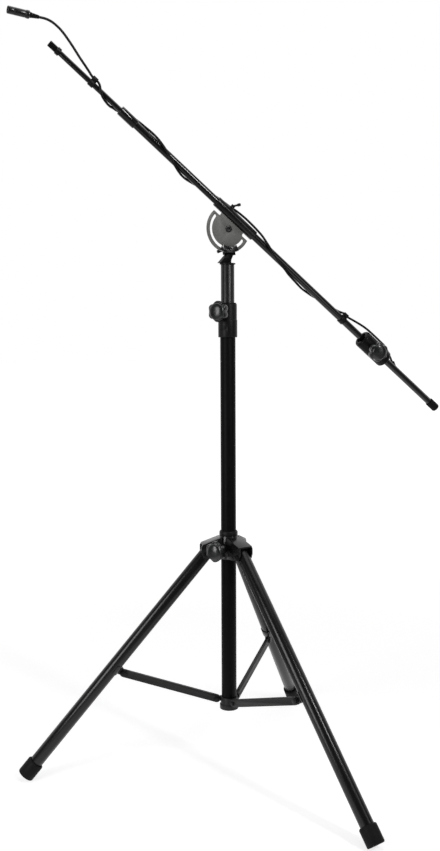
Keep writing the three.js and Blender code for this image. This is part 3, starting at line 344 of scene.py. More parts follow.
class Bench:
    """Modelling steps that every sub-assembly uses."""

    # Lengths in metres, angles in degrees
    SEED_SIZE = 0.001
    MERGE_GAP = 2e-6
    NODE_MERGE_GAP = 4e-6
    FLAT_ANGLE = 0.5
    EDGE_ANGLE = 32
    BEVEL_STEPS = 2
    LOBE_FULLNESS = 0.62

    @staticmethod
    def clear() -> None:
        """Leaves nothing selected, in object mode."""
        if bpy.context.object and bpy.context.object.mode != "OBJECT":
            bpy.ops.object.mode_set(mode="OBJECT")
        bpy.ops.object.select_all(action="DESELECT")

    @staticmethod
    def pick(piece: Piece) -> None:
        """Selects one piece and makes it active.

        Args:
            piece: The piece.
        """
        Bench.clear()
        piece.select_set(True)
        bpy.context.view_layer.objects.active = piece

    @staticmethod
    def round_edges(piece: Piece, width: float, angle: float = EDGE_ANGLE) -> None:
        """Rounds a piece's sharp edges and shades the rest smooth.

        Args:
            piece: The piece.
            width: Width of the rounding, in metres, or 0 to shade alone.
            angle: Edges sharper than this, in degrees, are rounded.
        """
        Bench.pick(piece)
        if width > 0:
            bevel = piece.modifiers.new("rounded_edges", "BEVEL")
            bevel.width = width
            bevel.segments = Bench.BEVEL_STEPS
            bevel.limit_method = "ANGLE"
            bevel.angle_limit = math.radians(angle)
            bevel.use_clamp_overlap = True
            bpy.ops.object.modifier_apply(modifier=bevel.name)
        bpy.ops.object.shade_smooth_by_angle(angle=math.radians(angle))

    @staticmethod
    def place(piece: Piece, seat: Vector, axis: Vector) -> None:
        """Stands a piece that was modelled along +Z on a seat, along an axis.

        Args:
            piece: The piece.
            seat: Where its origin goes.
            axis: Where its +Z points.
        """
        Bench.pick(piece)
        aim = axis.to_track_quat("Z", "Y").to_matrix().to_4x4()
        piece.matrix_world = Matrix.Translation(seat) @ aim
        bpy.ops.object.transform_apply(location=True, rotation=True, scale=True)

    @staticmethod
    def coat(piece: Piece, slot: Slot, node: Optional[str] = None) -> None:
        """Gives a piece the material of its slot, and hides the node that it replaces.

        Args:
            piece: The piece.
            slot: Its material slot.
            node: The node it replaces.
        """
        piece.data.materials.clear()
        piece.data.materials.append(SPECIAL_COATS.get(node, FINISHES[slot]).build())
        if node:
            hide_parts(node)

    @staticmethod
    def dress(piece: Piece, body: str, slot: Slot, node: Optional[str] = None) -> None:
        """Coats a finished piece and hangs it on its body.

        Args:
            piece: The piece.
            body: The body it moves with.
            slot: Its material slot.
            node: The node it replaces.
        """
        Bench.coat(piece, slot, node)
        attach(piece, body)
        log.info("%s rides on %s", piece.name, body)

    @staticmethod
    def open_mesh(name: str) -> Piece:
        """Names the newest primitive and opens it for editing, all selected.

        Args:
            name: Its name.

        Returns:
            The piece.
        """
        piece = bpy.context.object
        piece.name = name
        piece.data.name = name
        bpy.ops.object.mode_set(mode="EDIT")
        bpy.ops.mesh.select_all(action="SELECT")
        return piece

    @staticmethod
    def close_mesh() -> None:
        """Merges the open mesh's doubles, turns its faces outwards and ends the editing."""
        bpy.ops.mesh.select_all(action="SELECT")
        bpy.ops.mesh.remove_doubles(threshold=Bench.MERGE_GAP)
        bpy.ops.mesh.normals_make_consistent(inside=False)
        bpy.ops.object.mode_set(mode="OBJECT")

    @staticmethod
    def turned(name: str, profile: Sequence[Pair], sides: int) -> Piece:
        """Turns a profile round +Z, as on a lathe.

        Args:
            name: The piece's name.
            profile: Points (radius, height) in millimetres, from axis to axis or closed.
            sides: Faces round the turn.

        Returns:
            The turned piece, closed, at the origin.
        """
        Bench.clear()
        bpy.ops.mesh.primitive_plane_add(size=Bench.SEED_SIZE, location=(0, 0, 0))
        piece = Bench.open_mesh(name)
        bpy.ops.mesh.merge(type="CENTER")
        points = [Vector((radius / PER_METRE, 0, height / PER_METRE)) for radius, height in profile]
        bpy.ops.transform.translate(value=points[0])
        for start, end in zip(points, points[1:]):
            bpy.ops.mesh.extrude_region_move(TRANSFORM_OT_translate={"value": end - start})
        bpy.ops.mesh.select_all(action="SELECT")
        bpy.ops.mesh.spin(steps=sides, angle=math.tau, center=(0, 0, 0), axis=(0, 0, 1),
                          use_auto_merge=False)
        Bench.close_mesh()
        return piece

    @staticmethod
    def lobed(name: str, sections: Sequence[Triple], lobes: int, points: int) -> Piece:
        """Extrudes a form with lobes round +Z, ring by ring.

        Args:
            name: The piece's name.
            sections: Rings (radius, height, lobe depth) in millimetres, between filled ends.
            lobes: Lobes round the turn.
            points: Points on each lobe.

        Returns:
            The form, closed, at the origin.
        """
        Bench.clear()
        present = [sections[0][0] / PER_METRE] * points
        bpy.ops.mesh.primitive_circle_add(vertices=lobes * points, radius=present[0],
                                          fill_type="NGON")
        piece = Bench.open_mesh(name)
        height = 0.0
        for number, (radius, level, depth) in enumerate(sections):
            move = {"value": (0, 0, level / PER_METRE - height)}
            if number:
                bpy.ops.mesh.extrude_region_move(TRANSFORM_OT_translate=move)
            else:
                bpy.ops.transform.translate(**move)
            height = level / PER_METRE
            wanted = [Bench.lobe_radius(radius, depth, k / points) / PER_METRE
                      for k in range(points)]
            Bench.reshape_ring(piece, lobes * points, present, wanted)
            present = wanted
        Bench.close_mesh()
        return piece

    @staticmethod
    def lobe_radius(radius: float, depth: float, share: float) -> float:
        """Radius of a ring, in millimetres, at a share of the way between two hollows."""
        wave = 0.5 - 0.5 * math.cos(math.tau * share)
        return radius - depth * (1 - wave ** Bench.LOBE_FULLNESS)

    @staticmethod
    def reshape_ring(piece: Piece, sides: int, present: Sequence[float],
                     wanted: Sequence[float]) -> None:
        """Scales the newest ring, each place between the lobes by its own share.

        Args:
            piece: The form in edit mode, with its newest ring selected.
            sides: Points on the whole ring.
            present: The ring's radii now, by place.
            wanted: The radii it gets, by place.
        """
        shape = bmesh.from_edit_mesh(piece.data)
        for vert in [vert for vert in shape.verts if vert.select]:
            angle = math.atan2(vert.co.y, vert.co.x) % math.tau
            place = round(angle / math.tau * sides) % len(wanted)
            ratio = wanted[place] / present[place]
            vert.co.x *= ratio
            vert.co.y *= ratio
        bmesh.update_edit_mesh(piece.data)


@dataclass(frozen=True)
class SoftBox:
    """A lamp with a soft front and the point it faces, in metres of the photograph's frame."""

    name: str
    place: Triple
    size: Pair
    power: float
    target: Triple = (0, 0, 0.9)


SOFT_BOXES = (
    SoftBox("left_box", (-2.1, -2.1, 1.4), (1.0, 2.2), 46),
    SoftBox("right_box", (2.3, -1.8, 1.0), (0.6, 1.7), 6),
    SoftBox("boom_box", (1.85, -2.1, 2.7), (0.24, 1.2), 38, (-0.2, 0, 1.6)),
    SoftBox("top_box", (0.2, 0.1, 3.6), (2.4, 2.0), 20),
)


@dataclass
class StudioSet:
    """Camera, floor and lamps of the photograph."""

    distance: float = 2.542
    height: float = 1.159
    view_turn: float = -26.0
    pitch: float = 0.089
    yaw: float = 0.0084
    roll: float = -0.0045
    focal_pixels: float = 970.0
    frame_height: float = 851.0
    film: float = 36.0
    room_level: float = 0.12
    backdrop_rise: Pair = (-0.25, 0.55)
    floor_size: float = 90
    floor_drop: float = 0.0005
    floor_shade: float = 0.5
    floor_roughness: float = 0.9
    near_floor: float = 0.7
    near_fade: float = 0.35
    near_glow: float = 0.75
    far_floor: float = 4.5
    behind_rise: Pair = (0.3, 1.3)

    def view_rotation(self, size: int) -> Matrix:
        """Turn from the photograph's frame to the shared one, as a matrix of 3 or 4 rows."""
        return Matrix.Rotation(math.radians(self.view_turn), size, "Z")

    def aim_camera(self) -> None:
        """Adds the camera at the photograph's view."""
        bpy.ops.object.camera_add()
        camera = bpy.context.object
        camera.data.sensor_fit = "VERTICAL"
        camera.data.sensor_height = self.film
        camera.data.lens = self.focal_pixels / self.frame_height * self.film
        level = Vector((-math.sin(self.yaw), math.cos(self.yaw), 0))
        side = Vector((math.cos(self.yaw), math.sin(self.yaw), 0))
        forward = level * math.cos(self.pitch) + Vector((0, 0, -math.sin(self.pitch)))
        up = level * math.sin(self.pitch) + Vector((0, 0, math.cos(self.pitch)))
        right = side * math.cos(self.roll) + up * math.sin(self.roll)
        top = up * math.cos(self.roll) - side * math.sin(self.roll)
        axes = Matrix((right, top, -forward)).transposed().to_4x4()
        stand = Matrix.Translation((0, -self.distance, self.height))
        camera.matrix_world = Matrix.Translation(FRAME_SHIFT) @ self.view_rotation(4) @ stand @ axes
        bpy.context.scene.camera = camera

    def towards_backdrop(self, vector: Socket) -> Socket:
        """How far a place or a direction goes away from the camera, level with the floor.

        Args:
            vector: The place or direction.

        Returns:
            The value socket.
        """
        tree = vector.id_data
        facing = tree.nodes.new("ShaderNodeVectorMath")
        facing.operation = "DOT_PRODUCT"
        facing.inputs[1].default_value = self.view_rotation(3) @ Vector((0, 1, 0))
        tree.links.new(vector, facing.inputs[0])
        return facing.outputs["Value"]

    def light_world(self) -> None:
        """White backdrop that glossy surfaces show too, and a soft level of light all round."""
        world = bpy.data.worlds.new("white_studio")
        bpy.context.scene.world = world
        world.use_nodes = True
        tree = world.node_tree
        around = tree.nodes.new("ShaderNodeTexCoord").outputs["Generated"]
        dark_end, white_end = self.backdrop_rise
        backdrop = ramp(self.towards_backdrop(around), (dark_end, self.room_level),
                        (white_end, 1.0))
        mirrored = wire(tree.nodes.new("ShaderNodeMapRange"), To_Min=self.room_level,
                        To_Max=backdrop,
                        Value=ray_share(tree, "Is Glossy Ray", "Is Transmission Ray"))
        strength = combine("MAXIMUM", mirrored.outputs["Result"], ray_share(tree, "Is Camera Ray"))
        wire(tree.nodes["Background"], Color=(1, 1, 1, 1), Strength=strength)

    def lay_floor(self) -> None:
        """A pale floor that keeps the shadow, white under the object and back to the backdrop."""
        Bench.clear()
        bpy.ops.mesh.primitive_plane_add(size=self.floor_size, location=(0, 0, -self.floor_drop))
        floor = bpy.context.object
        floor.name = "studio_floor"
        material = bpy.data.materials.new("pale_floor")
        material.use_nodes = True
        tree = material.node_tree
        where = tree.nodes.new("ShaderNodeTexCoord").outputs["Object"]
        measure = tree.nodes.new("ShaderNodeVectorMath")
        measure.operation = "LENGTH"
        tree.links.new(where, measure.inputs[0])
        reach = measure.outputs["Value"]
        near = ramp(reach, (self.near_floor, 1.0), (self.near_floor + self.near_fade, 0.0))
        start, end = self.behind_rise
        behind = ramp(self.towards_backdrop(where), (start, 0.0), (end, 1.0))
        mirrored = combine("MULTIPLY", combine("MAXIMUM", near, behind),
                           ray_share(tree, "Is Glossy Ray"))
        seen = combine("MAXIMUM", mirrored, ray_share(tree, "Is Camera Ray", "Is Transmission Ray"))
        rise = ramp(reach, (self.near_floor, self.near_glow), (self.far_floor, 1.0))
        wire(tree.nodes["Principled BSDF"], Roughness=self.floor_roughness,
             Base_Color=(*(self.floor_shade,) * 3, 1), Emission_Color=(1, 1, 1, 1),
             Emission_Strength=combine("MULTIPLY", seen, rise))
        floor.data.materials.append(material)

    def hang_lamps(self) -> None:
        """Adds the soft boxes."""
        for box in SOFT_BOXES:
            place = Vector(box.place)
            bpy.ops.object.light_add(type="AREA")
            lamp = bpy.context.object
            lamp.name = box.name
            lamp.data.shape = "RECTANGLE"
            lamp.data.size, lamp.data.size_y = box.size
            lamp.data.energy = box.power
            aim = (place - Vector(box.target)).to_track_quat("Z", "Y").to_matrix().to_4x4()
            lamp.matrix_world = (Matrix.Translation(FRAME_SHIFT) @ self.view_rotation(4)
                                 @ Matrix.Translation(place) @ aim)

    def build(self) -> None:
        """Sets the whole studio."""
        bpy.context.scene.view_settings.view_transform = "Standard"
        self.aim_camera()
        self.light_world()
        self.lay_floor()
        self.hang_lamps()


@dataclass(frozen=True)
class CableStretch:
    """One stretch of the cable, on one body or between two.

    Its start, its end and the change from the one body to the other are given as places along the
    boom, in millimetres. Its fittings are pieces that go with it.
    """

    name: str
    start: float
    end: float
    body: str
    second_body: Optional[str] = None
    change: Pair = (0.0, 0.0)
    node: Optional[str] = None
    fittings: tuple[str, ...] = ()


CABLE_STRETCHES = (
    CableStretch("lead_cable", -668, -486, "front_arm", node="cable_lead",
                 fittings=("connector_shell", "ribbed_boot", "connector_contacts")),
    CableStretch("front_wound_cable", -486, -268, "front_arm", "boom", (-486, -400),
                 "cable_front_wrap"),
    CableStretch("sleeve_front_cable", -268, 18, "boom", "cradle", (-264, -112)),
    CableStretch("sleeve_rear_cable", 18, 264, "cradle", "boom", (122, 260)),
    CableStretch("rear_wound_cable", 264, 548, "boom", "counterweight", (423, 470),
                 "cable_rear_wrap"),
    CableStretch("weight_rear_cable", 548, 624, "counterweight", "boom", (602, 620),
                 fittings=("cable_grommet_refined",)),
)


@dataclass
class CableRun:
    """The cable wound round the boom, in the stretches that move apart."""

    # From the connector to the grommet: place along the boom, turn round it, radius from its axis
    waypoints: tuple[Triple, ...] = (
        (-668, 0, 29.5), (-655, 0, 37.8), (-640, 0, 43), (-622, 0, 44.4), (-606, 0, 42.9),
        (-576, 0, 36), (-541, 3, 25.3), (-520, 8, 19.5), (-506, 15, 15.4), (-495, 22, 12.3),
        (-486, 22, 12.3), (-477, 22, 12.3), (-469, 60, 11.5), (-460, 106, 10.7), (-449, 143, 10.4),
        (-434, 175, 10.4), (-420, 213, 10.4), (-410, 245, 11), (-400, 266, 14.6), (-390, 283, 15.8),
        (-371, 305, 16.3), (-356, 322, 16.3), (-340, 336, 15), (-322, 352, 13.5), (-305, 372, 13.1),
        (-287, 398, 13.1), (-268, 424, 13.1), (-248, 450, 13.1), (-228, 478, 13.1),
        (-208, 507, 13.2), (-192, 531, 13.3), (-180, 552, 13.3), (-166, 575, 13.3),
        (-152, 598, 13.2), (-137, 618, 13.1), (-120, 638, 13.3), (-104, 653, 14.4),
        (-88, 666, 16.4), (-72, 677, 17.1), (-44, 692, 17.4), (-26, 700, 17.5), (-11, 716, 17.9),
        (18, 736, 18.5), (46, 752, 18.4), (66, 760, 17.9), (82, 771, 17.5), (98, 786, 16.3),
        (114, 800, 14.9), (130, 818, 13.6), (150, 839, 13.2), (172, 856, 13.1), (192, 868, 13.1),
        (206, 882, 13.3), (222, 890, 13.6), (244, 900, 13.9), (264, 924, 13.8), (284, 950, 13.8),
        (304, 968, 13.8), (324, 990, 13.4), (346, 1012, 13.2), (368, 1031, 13.2), (387, 1046, 13.2),
        (398, 1062, 13.9), (407, 1100, 15.3), (423, 1102, 15.3), (440, 1102, 18.8),
        (456, 1102, 22.2), (472, 1102, 25.2), (488, 1102, 27.3), (508, 1102, 28.2),
        (548, 1101, 28.2), (566, 1095, 28.1), (580, 1080, 28), (591, 1070, 27.5), (600, 1064, 26),
        (609, 1060, 23), (617, 1057, 19.5), (624, 1055, 15.2),
    )
    diameter: float = 0.006
    steps_per_span: int = 6
    least_gap: float = 1e-6
    sides: int = 20
    crease: float = 50

    def route(self) -> list[Vector]:
        """All the route's points in the shared frame."""
        return [boom_point(*point) for point in self.waypoints]

    def smooth(self, first: int, last: int) -> list[Vector]:
        """Points along the smooth curve between two of the route's points.

        Args:
            first: Index of the first point.
            last: Index of the last point.

        Returns:
            The points, closely spaced.
        """
        points = self.route()
        padded = [points[0] * 2 - points[1], *points, points[-1] * 2 - points[-2]]
        line = []
        for index in range(first, last):
            before, start, end, after = padded[index:index + 4]
            gaps = [max((b - a).length ** 0.5, self.least_gap)
                    for a, b in ((before, start), (start, end), (end, after))]
            leave = ((start - before) / gaps[0] - (end - before) / (gaps[0] + gaps[1])
                     + (end - start) / gaps[1]) * gaps[1]
            arrive = ((end - start) / gaps[1] - (after - start) / (gaps[1] + gaps[2])
                      + (after - end) / gaps[2]) * gaps[1]
            for step in range(self.steps_per_span):
                t = step / self.steps_per_span
                line.append(start * (2 * t ** 3 - 3 * t ** 2 + 1)
                            + leave * (t ** 3 - 2 * t ** 2 + t)
                            + end * (3 * t ** 2 - 2 * t ** 3) + arrive * (t ** 3 - t ** 2))
        line.append(points[last])
        return line

    def tube(self, name: str, line: Sequence[Vector]) -> Piece:
        """Sweeps the round jacket along a line.

        Args:
            name: The piece's name.
            line: The centreline.

        Returns:
            The jacket as a closed mesh.
        """
        Bench.clear()
        radius = self.diameter / 2
        bpy.ops.mesh.primitive_circle_add(vertices=self.sides, radius=radius, fill_type="NGON")
        piece = bpy.context.object
        piece.name = name
        piece.data.name = name
        normal = (line[1] - line[0]).normalized().orthogonal().normalized()
        shape = bmesh.new()
        layers = []
        for index, point in enumerate(line):
            before = line[max(0, index - 1)]
            after = line[min(len(line) - 1, index + 1)]
            heading = (after - before).normalized()
            normal = (normal - heading * normal.dot(heading)).normalized()
            across = heading.cross(normal)
            turns = (math.tau * k / self.sides for k in range(self.sides))
            layers.append([shape.verts.new(
                point + (normal * math.cos(a) + across * math.sin(a)) * radius) for a in turns])
        for low, high in zip(layers, layers[1:]):
            for k in range(self.sides):
                n = (k + 1) % self.sides
                shape.faces.new((low[k], low[n], high[n], high[k]))
        shape.faces.new(list(reversed(layers[0])))
        shape.faces.new(layers[-1])
        shape.to_mesh(piece.data)
        shape.free()
        Bench.round_edges(piece, 0, self.crease)
        return piece

    def build(self) -> None:
        places = [point[0] for point in self.waypoints]
        for stretch in CABLE_STRETCHES:
            line = self.smooth(places.index(stretch.start), places.index(stretch.end))
            piece = self.tube(stretch.name, line)
            Bench.coat(piece, Slot.CABLE, stretch.node)
            if stretch.second_body:
                leave, join = (boom_point(place, 0, 0) for place in stretch.change)
                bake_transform(piece)
            else:
                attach(piece, stretch.body)


@dataclass
class StarKnob:
    """A clamping knob with rounded lobes, modelled once and copied, in millimetres."""

    radius: float = 27.5
    lobes: int = 6
    lobe_depth: float = 5.0
    points_per_lobe: int = 16
    neck_start: float = 0.3
    neck_radius: float = 11.0
    neck_length: float = 6.0
    body_length: float = 18.0
    # Rings round the body's lower and upper edge: inset, distance from the edge, share of the lobes
    skirt: tuple[Triple, ...] = (
        (4.2, 0.1, 0.7), (1.6, 0.8, 0.9), (0.2, 3.0, 1.0), (0.0, 6.0, 1.0))
    crown: tuple[Triple, ...] = (
        (0.0, 5.0, 1.0), (0.6, 2.4, 0.95), (2.4, 0.7, 0.55), (4.8, 0.1, 0.1))
    dome_radius: float = 21.4
    dome_height: float = 8.0
    dome_fullness: float = 0.93
    dome_flare: float = 0.4
    dome_foot: float = 0.1
    dome_base: float = 0.5
    dome_rings: int = 7
    crease: float = 38
    # Bearing from the column, reach and height, in metres
    hub_seat: Triple = (-57, 0.05, 0.60732)
    mast_seat: Triple = (-56, 0.033, 1.229)
    # Place along the boom, turn round it and radius from its axis
    weight_seat: Triple = (541, 108, 30)

    def sections(self) -> list[Triple]:
        """Works out the rings of the knob.

        Returns:
            Rings (radius, height, lobe depth) from the neck up to the dome's top.
        """
        top = self.neck_length + self.body_length
        rings = [(self.neck_radius, level, 0.0) for level in (self.neck_start, self.neck_length)]
        rings += [(self.radius - inset, self.neck_length + rise, self.lobe_depth * share)
                  for inset, rise, share in self.skirt]
        rings += [(self.radius - inset, top - drop, self.lobe_depth * share)
                  for inset, drop, share in self.crown]
        rings += [(self.dome_radius + self.dome_flare, top + self.dome_foot, 0.0),
                  (self.dome_radius, top + self.dome_base, 0.0)]
        for step in range(1, self.dome_rings):
            angle = math.pi / 2 * step / self.dome_rings
            rise = self.dome_height * math.sin(angle) * self.dome_fullness
            rings.append((self.dome_radius * math.cos(angle), top + self.dome_base + rise, 0.0))
        return rings

    def fit(self, pattern: Piece, node: str, body: str, seat: Vector, axis: Vector) -> None:
        """Copies the pattern on to one boss.

        Args:
            pattern: The modelled knob.
            node: The knob's node.
            body: Its body.
            seat: The end of its boss.
            axis: Direction away from the boss.
        """
        knob = bpy.data.objects.new(f"{node}_moulded", pattern.data.copy())
        knob.data.name = knob.name
        bpy.context.scene.collection.objects.link(knob)
        Bench.place(knob, seat, axis)
        Bench.dress(knob, body, Slot.KNOB, node)

    def build(self) -> None:
        """Models the knob and fits it to the hub, the mast's clutch and the counterweight."""
        pattern = Bench.lobed("star_knob_pattern", self.sections(), self.lobes,
                              self.points_per_lobe)
        Bench.round_edges(pattern, 0, self.crease)
        self.fit(pattern, "hub_lock_knob", "hub_knob", beside_column(*self.hub_seat),
                 bearing(self.hub_seat[0]))
        self.fit(pattern, "mast_lock_knob", "mast_knob", beside_column(*self.mast_seat),
                 bearing(self.mast_seat[0]))
        self.fit(pattern, "counterweight_knob", "weight_knob", boom_point(*self.weight_seat),
                 round_boom(self.weight_seat[1]))
        bpy.data.objects.remove(pattern)


@dataclass
class CableEnds:
    """The connector and its ribbed boot at the cable's front end, in millimetres."""

    boot_length: float = 22.0
    boot_wide: float = 6.4
    boot_narrow: float = 4.2
    boot_edge: float = 0.6
    boot_collar: float = 3
    boot_plain: float = 5
    boot_ribs: int = 5
    first_rib: float = 1.6
    rib_depth: float = 0.7
    rib_edge: float = 0.35
    groove_share: float = 0.42
    rib_share: float = 0.5
    boot_sides: int = 40
    shell_radius: float = 9.5
    shell_length: float = 52.0
    shell_step: float = 0.8
    ring_start: float = 1.6
    ring_length: float = 8.0
    # Inset of the shell, and rise over its rear end, over its ring, and drop from its front end
    shell_rear: tuple[Pair, ...] = ((1.2, 0.0), (0.2, 0.6))
    shell_groove: tuple[Pair, ...] = ((0.0, 0.5), (0.0, 1.6), (0.5, 1.9), (0.5, 2.7), (0.0, 3.0))
    shell_front: tuple[Pair, ...] = (
        (0.0, 16), (0.4, 15.7), (0.4, 14.9), (0.0, 14.6), (0.0, 0.8), (0.7, 0.0))
    shell_sides: int = 56
    face_depth: float = 2.5
    rim: float = 1.6
    gap: float = 0.3
    contact_radius: float = 1.1
    contact_flare: float = 0.6
    contact_levels: tuple[float, ...] = (0.02, 0.35, 0.4, 1.5, 2.0, 2.1)
    contact_circle: float = 3.6
    contact_count: int = 3
    contact_sides: int = 16
    # Widths of the rounded edges, in metres
    boot_rounding: float = 0.00015
    shell_rounding: float = 0.0002

    def boot(self) -> Piece:
        """Turns the boot, whose ribs narrow towards the cable.

        Returns:
            The boot.
        """
        edge, end = self.boot_edge, self.boot_length
        slope = (self.boot_wide - self.boot_narrow) / self.boot_length
        profile = [(0.0, self.gap), (self.boot_narrow - edge, self.gap),
                   (self.boot_narrow, self.gap + edge)]
        pitch = (self.boot_length - self.boot_plain) / self.boot_ribs
        for rib in range(self.boot_ribs):
            low = self.first_rib + rib * pitch
            outer = self.boot_narrow + slope * low
            inner = outer - self.rib_depth
            profile += [(outer, low), (inner, low + self.rib_edge),
                        (inner, low + pitch * self.groove_share),
                        (outer + slope * pitch * self.rib_share, low + pitch * self.rib_share)]
        profile += [(self.boot_wide, end - self.boot_collar), (self.boot_wide, end - edge),
                    (self.boot_wide - edge, end), (0.0, end)]
        return Bench.turned("ribbed_boot", profile, self.boot_sides)

    def shell(self) -> Piece:
        """Turns the connector's shell, with its ring and its recessed face.

        Returns:
            The shell.
        """
        low = self.boot_length + self.gap
        high = low + self.shell_length
        inner = self.shell_radius - self.shell_step
        ring = low + self.ring_length
        profile = [(0.0, low)]
        profile += [(inner - inset, low + rise) for inset, rise in self.shell_rear]
        profile += [(self.shell_radius, low + self.ring_start), (self.shell_radius, ring)]
        profile += [(inner - inset, ring + rise) for inset, rise in self.shell_groove]
        profile += [(inner - inset, high - drop) for inset, drop in self.shell_front]
        profile += [(inner - self.rim, high), (inner - self.rim, high - self.face_depth),
                    (0.0, high - self.face_depth)]
        return Bench.turned("connector_shell", profile, self.shell_sides)

    def contacts(self) -> Piece:
        """Turns the contacts that stand in the connector's face.

        Returns:
            The contacts as one piece.
        """
        base = self.boot_length + self.gap + self.shell_length - self.face_depth
        radius = self.contact_radius
        wide = radius + self.contact_flare
        foot, flange, shank, shoulder, tip, point = (base + level for level in self.contact_levels)
        pins = []
        for number in range(self.contact_count):
            angle = math.tau * number / self.contact_count
            pin = Bench.turned(f"contact_{number}", [
                (0.0, foot), (wide, foot), (wide, flange), (radius, shank), (radius, shoulder),
                (radius / 2, tip), (0.0, point)], self.contact_sides)
            pin.location = (math.cos(angle) * self.contact_circle / PER_METRE,
                            math.sin(angle) * self.contact_circle / PER_METRE, 0)
            pins.append(pin)
        Bench.pick(pins[0])
        for pin in pins:
            pin.select_set(True)
        bpy.ops.object.transform_apply(location=True, rotation=True, scale=True)
        bpy.ops.object.join()
        joined = bpy.context.object
        joined.name = "connector_contacts"
        return joined

    def build(self, route: Sequence[Vector]) -> None:
        """Places boot, shell and contacts at the cable's front end.

        Args:
            route: The cable's route, from its front end.
        """
        axis = (route[0] - route[1]).normalized()
        for make, width, slot, node in (
                (self.boot, self.boot_rounding, Slot.RUBBER, "connector_boot"),
                (self.shell, self.shell_rounding, Slot.CASTING, "cable_connector"),
                (self.contacts, 0, Slot.FASTENER, None)):
            piece = make()
            Bench.place(piece, route[0], axis)
            Bench.round_edges(piece, width)
            Bench.dress(piece, "front_arm", slot, node)


@dataclass
class BoomTurnings:
    """Turned fittings of the boom, rear cap and front stud, in millimetres along its axis."""

    boom_radius: float = 9.5
    boom_end: float = 821.7
    fit_gap: float = 0.3
    cap_radius: float = 11.8
    cap_front: float = 796.0
    cap_floor: float = 6.0
    cap_mouth: float = 0.9
    # Inset of the cap's rear edge, and distance from its end
    cap_edge: tuple[Pair, ...] = ((0.0, 2.6), (0.8, 0.9), (2.4, 0.0))
    grooves: int = 3
    groove_start: float = 6
    groove_pitch: float = 3.2
    # Inset and rise round one groove
    groove_profile: tuple[Pair, ...] = ((0.0, 0.0), (0.45, 0.35), (0.45, 0.95), (0.0, 1.3))
    cap_sides: int = 56
    # Width of the cap's rounded edges, in metres
    cap_rounding: float = 0.00015
    stud_face: float = -584.3
    stud_shoulder_radius: float = 9.5
    stud_shoulder: float = 10.0
    stud_edge: float = 0.6
    # Inset of the stud's shoulder, and distance from its face
    stud_groove: tuple[Pair, ...] = ((0.0, 3.2), (0.5, 3.5), (0.5, 4.1), (0.0, 4.4))
    shoulder_edge: float = 0.7
    stud_radius: float = 7.9
    stud_length: float = 22.0
    stud_threads: int = 14
    thread_depth: float = 0.75
    thread_start: float = 0.8
    thread_margin: float = 1.6
    thread_crest: Pair = (0.45, 0.55)
    spigot_radius: float = 5.0
    spigot_length: float = 18.0
    stud_sides: int = 48
    stud_crease: float = 25

    def rear_cap(self) -> Piece:
        """Turns the rubber cap over the boom's rear end.

        Returns:
            The cap.
        """
        outer, bore = self.cap_radius, self.boom_radius + self.fit_gap
        start, floor = self.cap_front, self.boom_end + self.fit_gap
        stop = floor + self.cap_floor
        profile = [(bore, start), (outer - self.cap_mouth, start), (outer, start + self.cap_mouth)]
        for groove in range(self.grooves):
            low = start + self.groove_start + groove * self.groove_pitch
            profile += [(outer - inset, low + rise) for inset, rise in self.groove_profile]
        profile += [(outer - inset, stop - drop) for inset, drop in self.cap_edge]
        profile += [(0, stop), (0, floor), (bore, floor), (bore, start)]
        return Bench.turned("ringed_end_cap", profile, self.cap_sides)

    def stud(self) -> Piece:
        """Turns the front stud with its close rings of thread.

        Returns:
            The stud.
        """
        face, shoulder = self.stud_face, self.stud_face - self.stud_shoulder
        wide, radius, edge = self.stud_shoulder_radius, self.stud_radius, self.stud_edge
        core = radius - self.thread_depth
        spigot_end = face + self.fit_gap + self.spigot_length
        profile = [(0, spigot_end), (self.spigot_radius, spigot_end), (self.spigot_radius, face),
                   (wide - edge, face), (wide, face - edge)]
        profile += [(wide - inset, face - drop) for inset, drop in self.stud_groove]
        profile += [(wide, shoulder + self.shoulder_edge), (wide - self.shoulder_edge, shoulder),
                    (core, shoulder)]
        pitch = (self.stud_length - self.thread_margin) / self.stud_threads
        for turn in range(self.stud_threads):
            low = shoulder - self.thread_start - turn * pitch
            profile.append((core, low))
            profile += [(radius, low - pitch * share) for share in self.thread_crest]
        end = shoulder - self.stud_length
        profile += [(core, end + edge), (core - edge, end), (0, end)]
        return Bench.turned("threaded_front_stud", profile, self.stud_sides)

    def build(self) -> None:
        """Lays the cap and the stud on the boom's axis, each with its +Z to the rear."""
        rearward = Vector((math.cos(BOOM_RISE), 0.0, -math.sin(BOOM_RISE)))
        for make, width, crease, body, slot, node in (
                (self.rear_cap, self.cap_rounding, Bench.EDGE_ANGLE, "boom", Slot.RUBBER,
                 "boom_end_cap"),
                (self.stud, 0, self.stud_crease, "front_arm", Slot.FASTENER, "mic_thread_stud")):
            piece = make()
            Bench.place(piece, boom_point(0, 0, 0), rearward)
            Bench.round_edges(piece, width, crease)
            Bench.dress(piece, body, slot, node)


@dataclass
class RefinedSet:
    """Fittings whose node has the right shape, each with its slot and its rounding in metres."""

    body: str
    pieces: dict[str, tuple[Slot, float]]

    def build(self) -> None:
        """Merges a copy of each fitting's node, rounds its edges and dresses it."""
        for node, (slot, width) in self.pieces.items():
            piece = bpy.data.objects.new(f"{node}_refined", bpy.data.objects[node].data.copy())
            bpy.context.scene.collection.objects.link(piece)
            Bench.pick(piece)
            bpy.ops.object.mode_set(mode="EDIT")
            bpy.ops.mesh.select_all(action="SELECT")
            bpy.ops.mesh.remove_doubles(threshold=Bench.NODE_MERGE_GAP)
            bpy.ops.mesh.dissolve_limited(angle_limit=math.radians(Bench.FLAT_ANGLE))
            bpy.ops.object.mode_set(mode="OBJECT")
            Bench.round_edges(piece, width)
            Bench.dress(piece, self.body, slot, node)


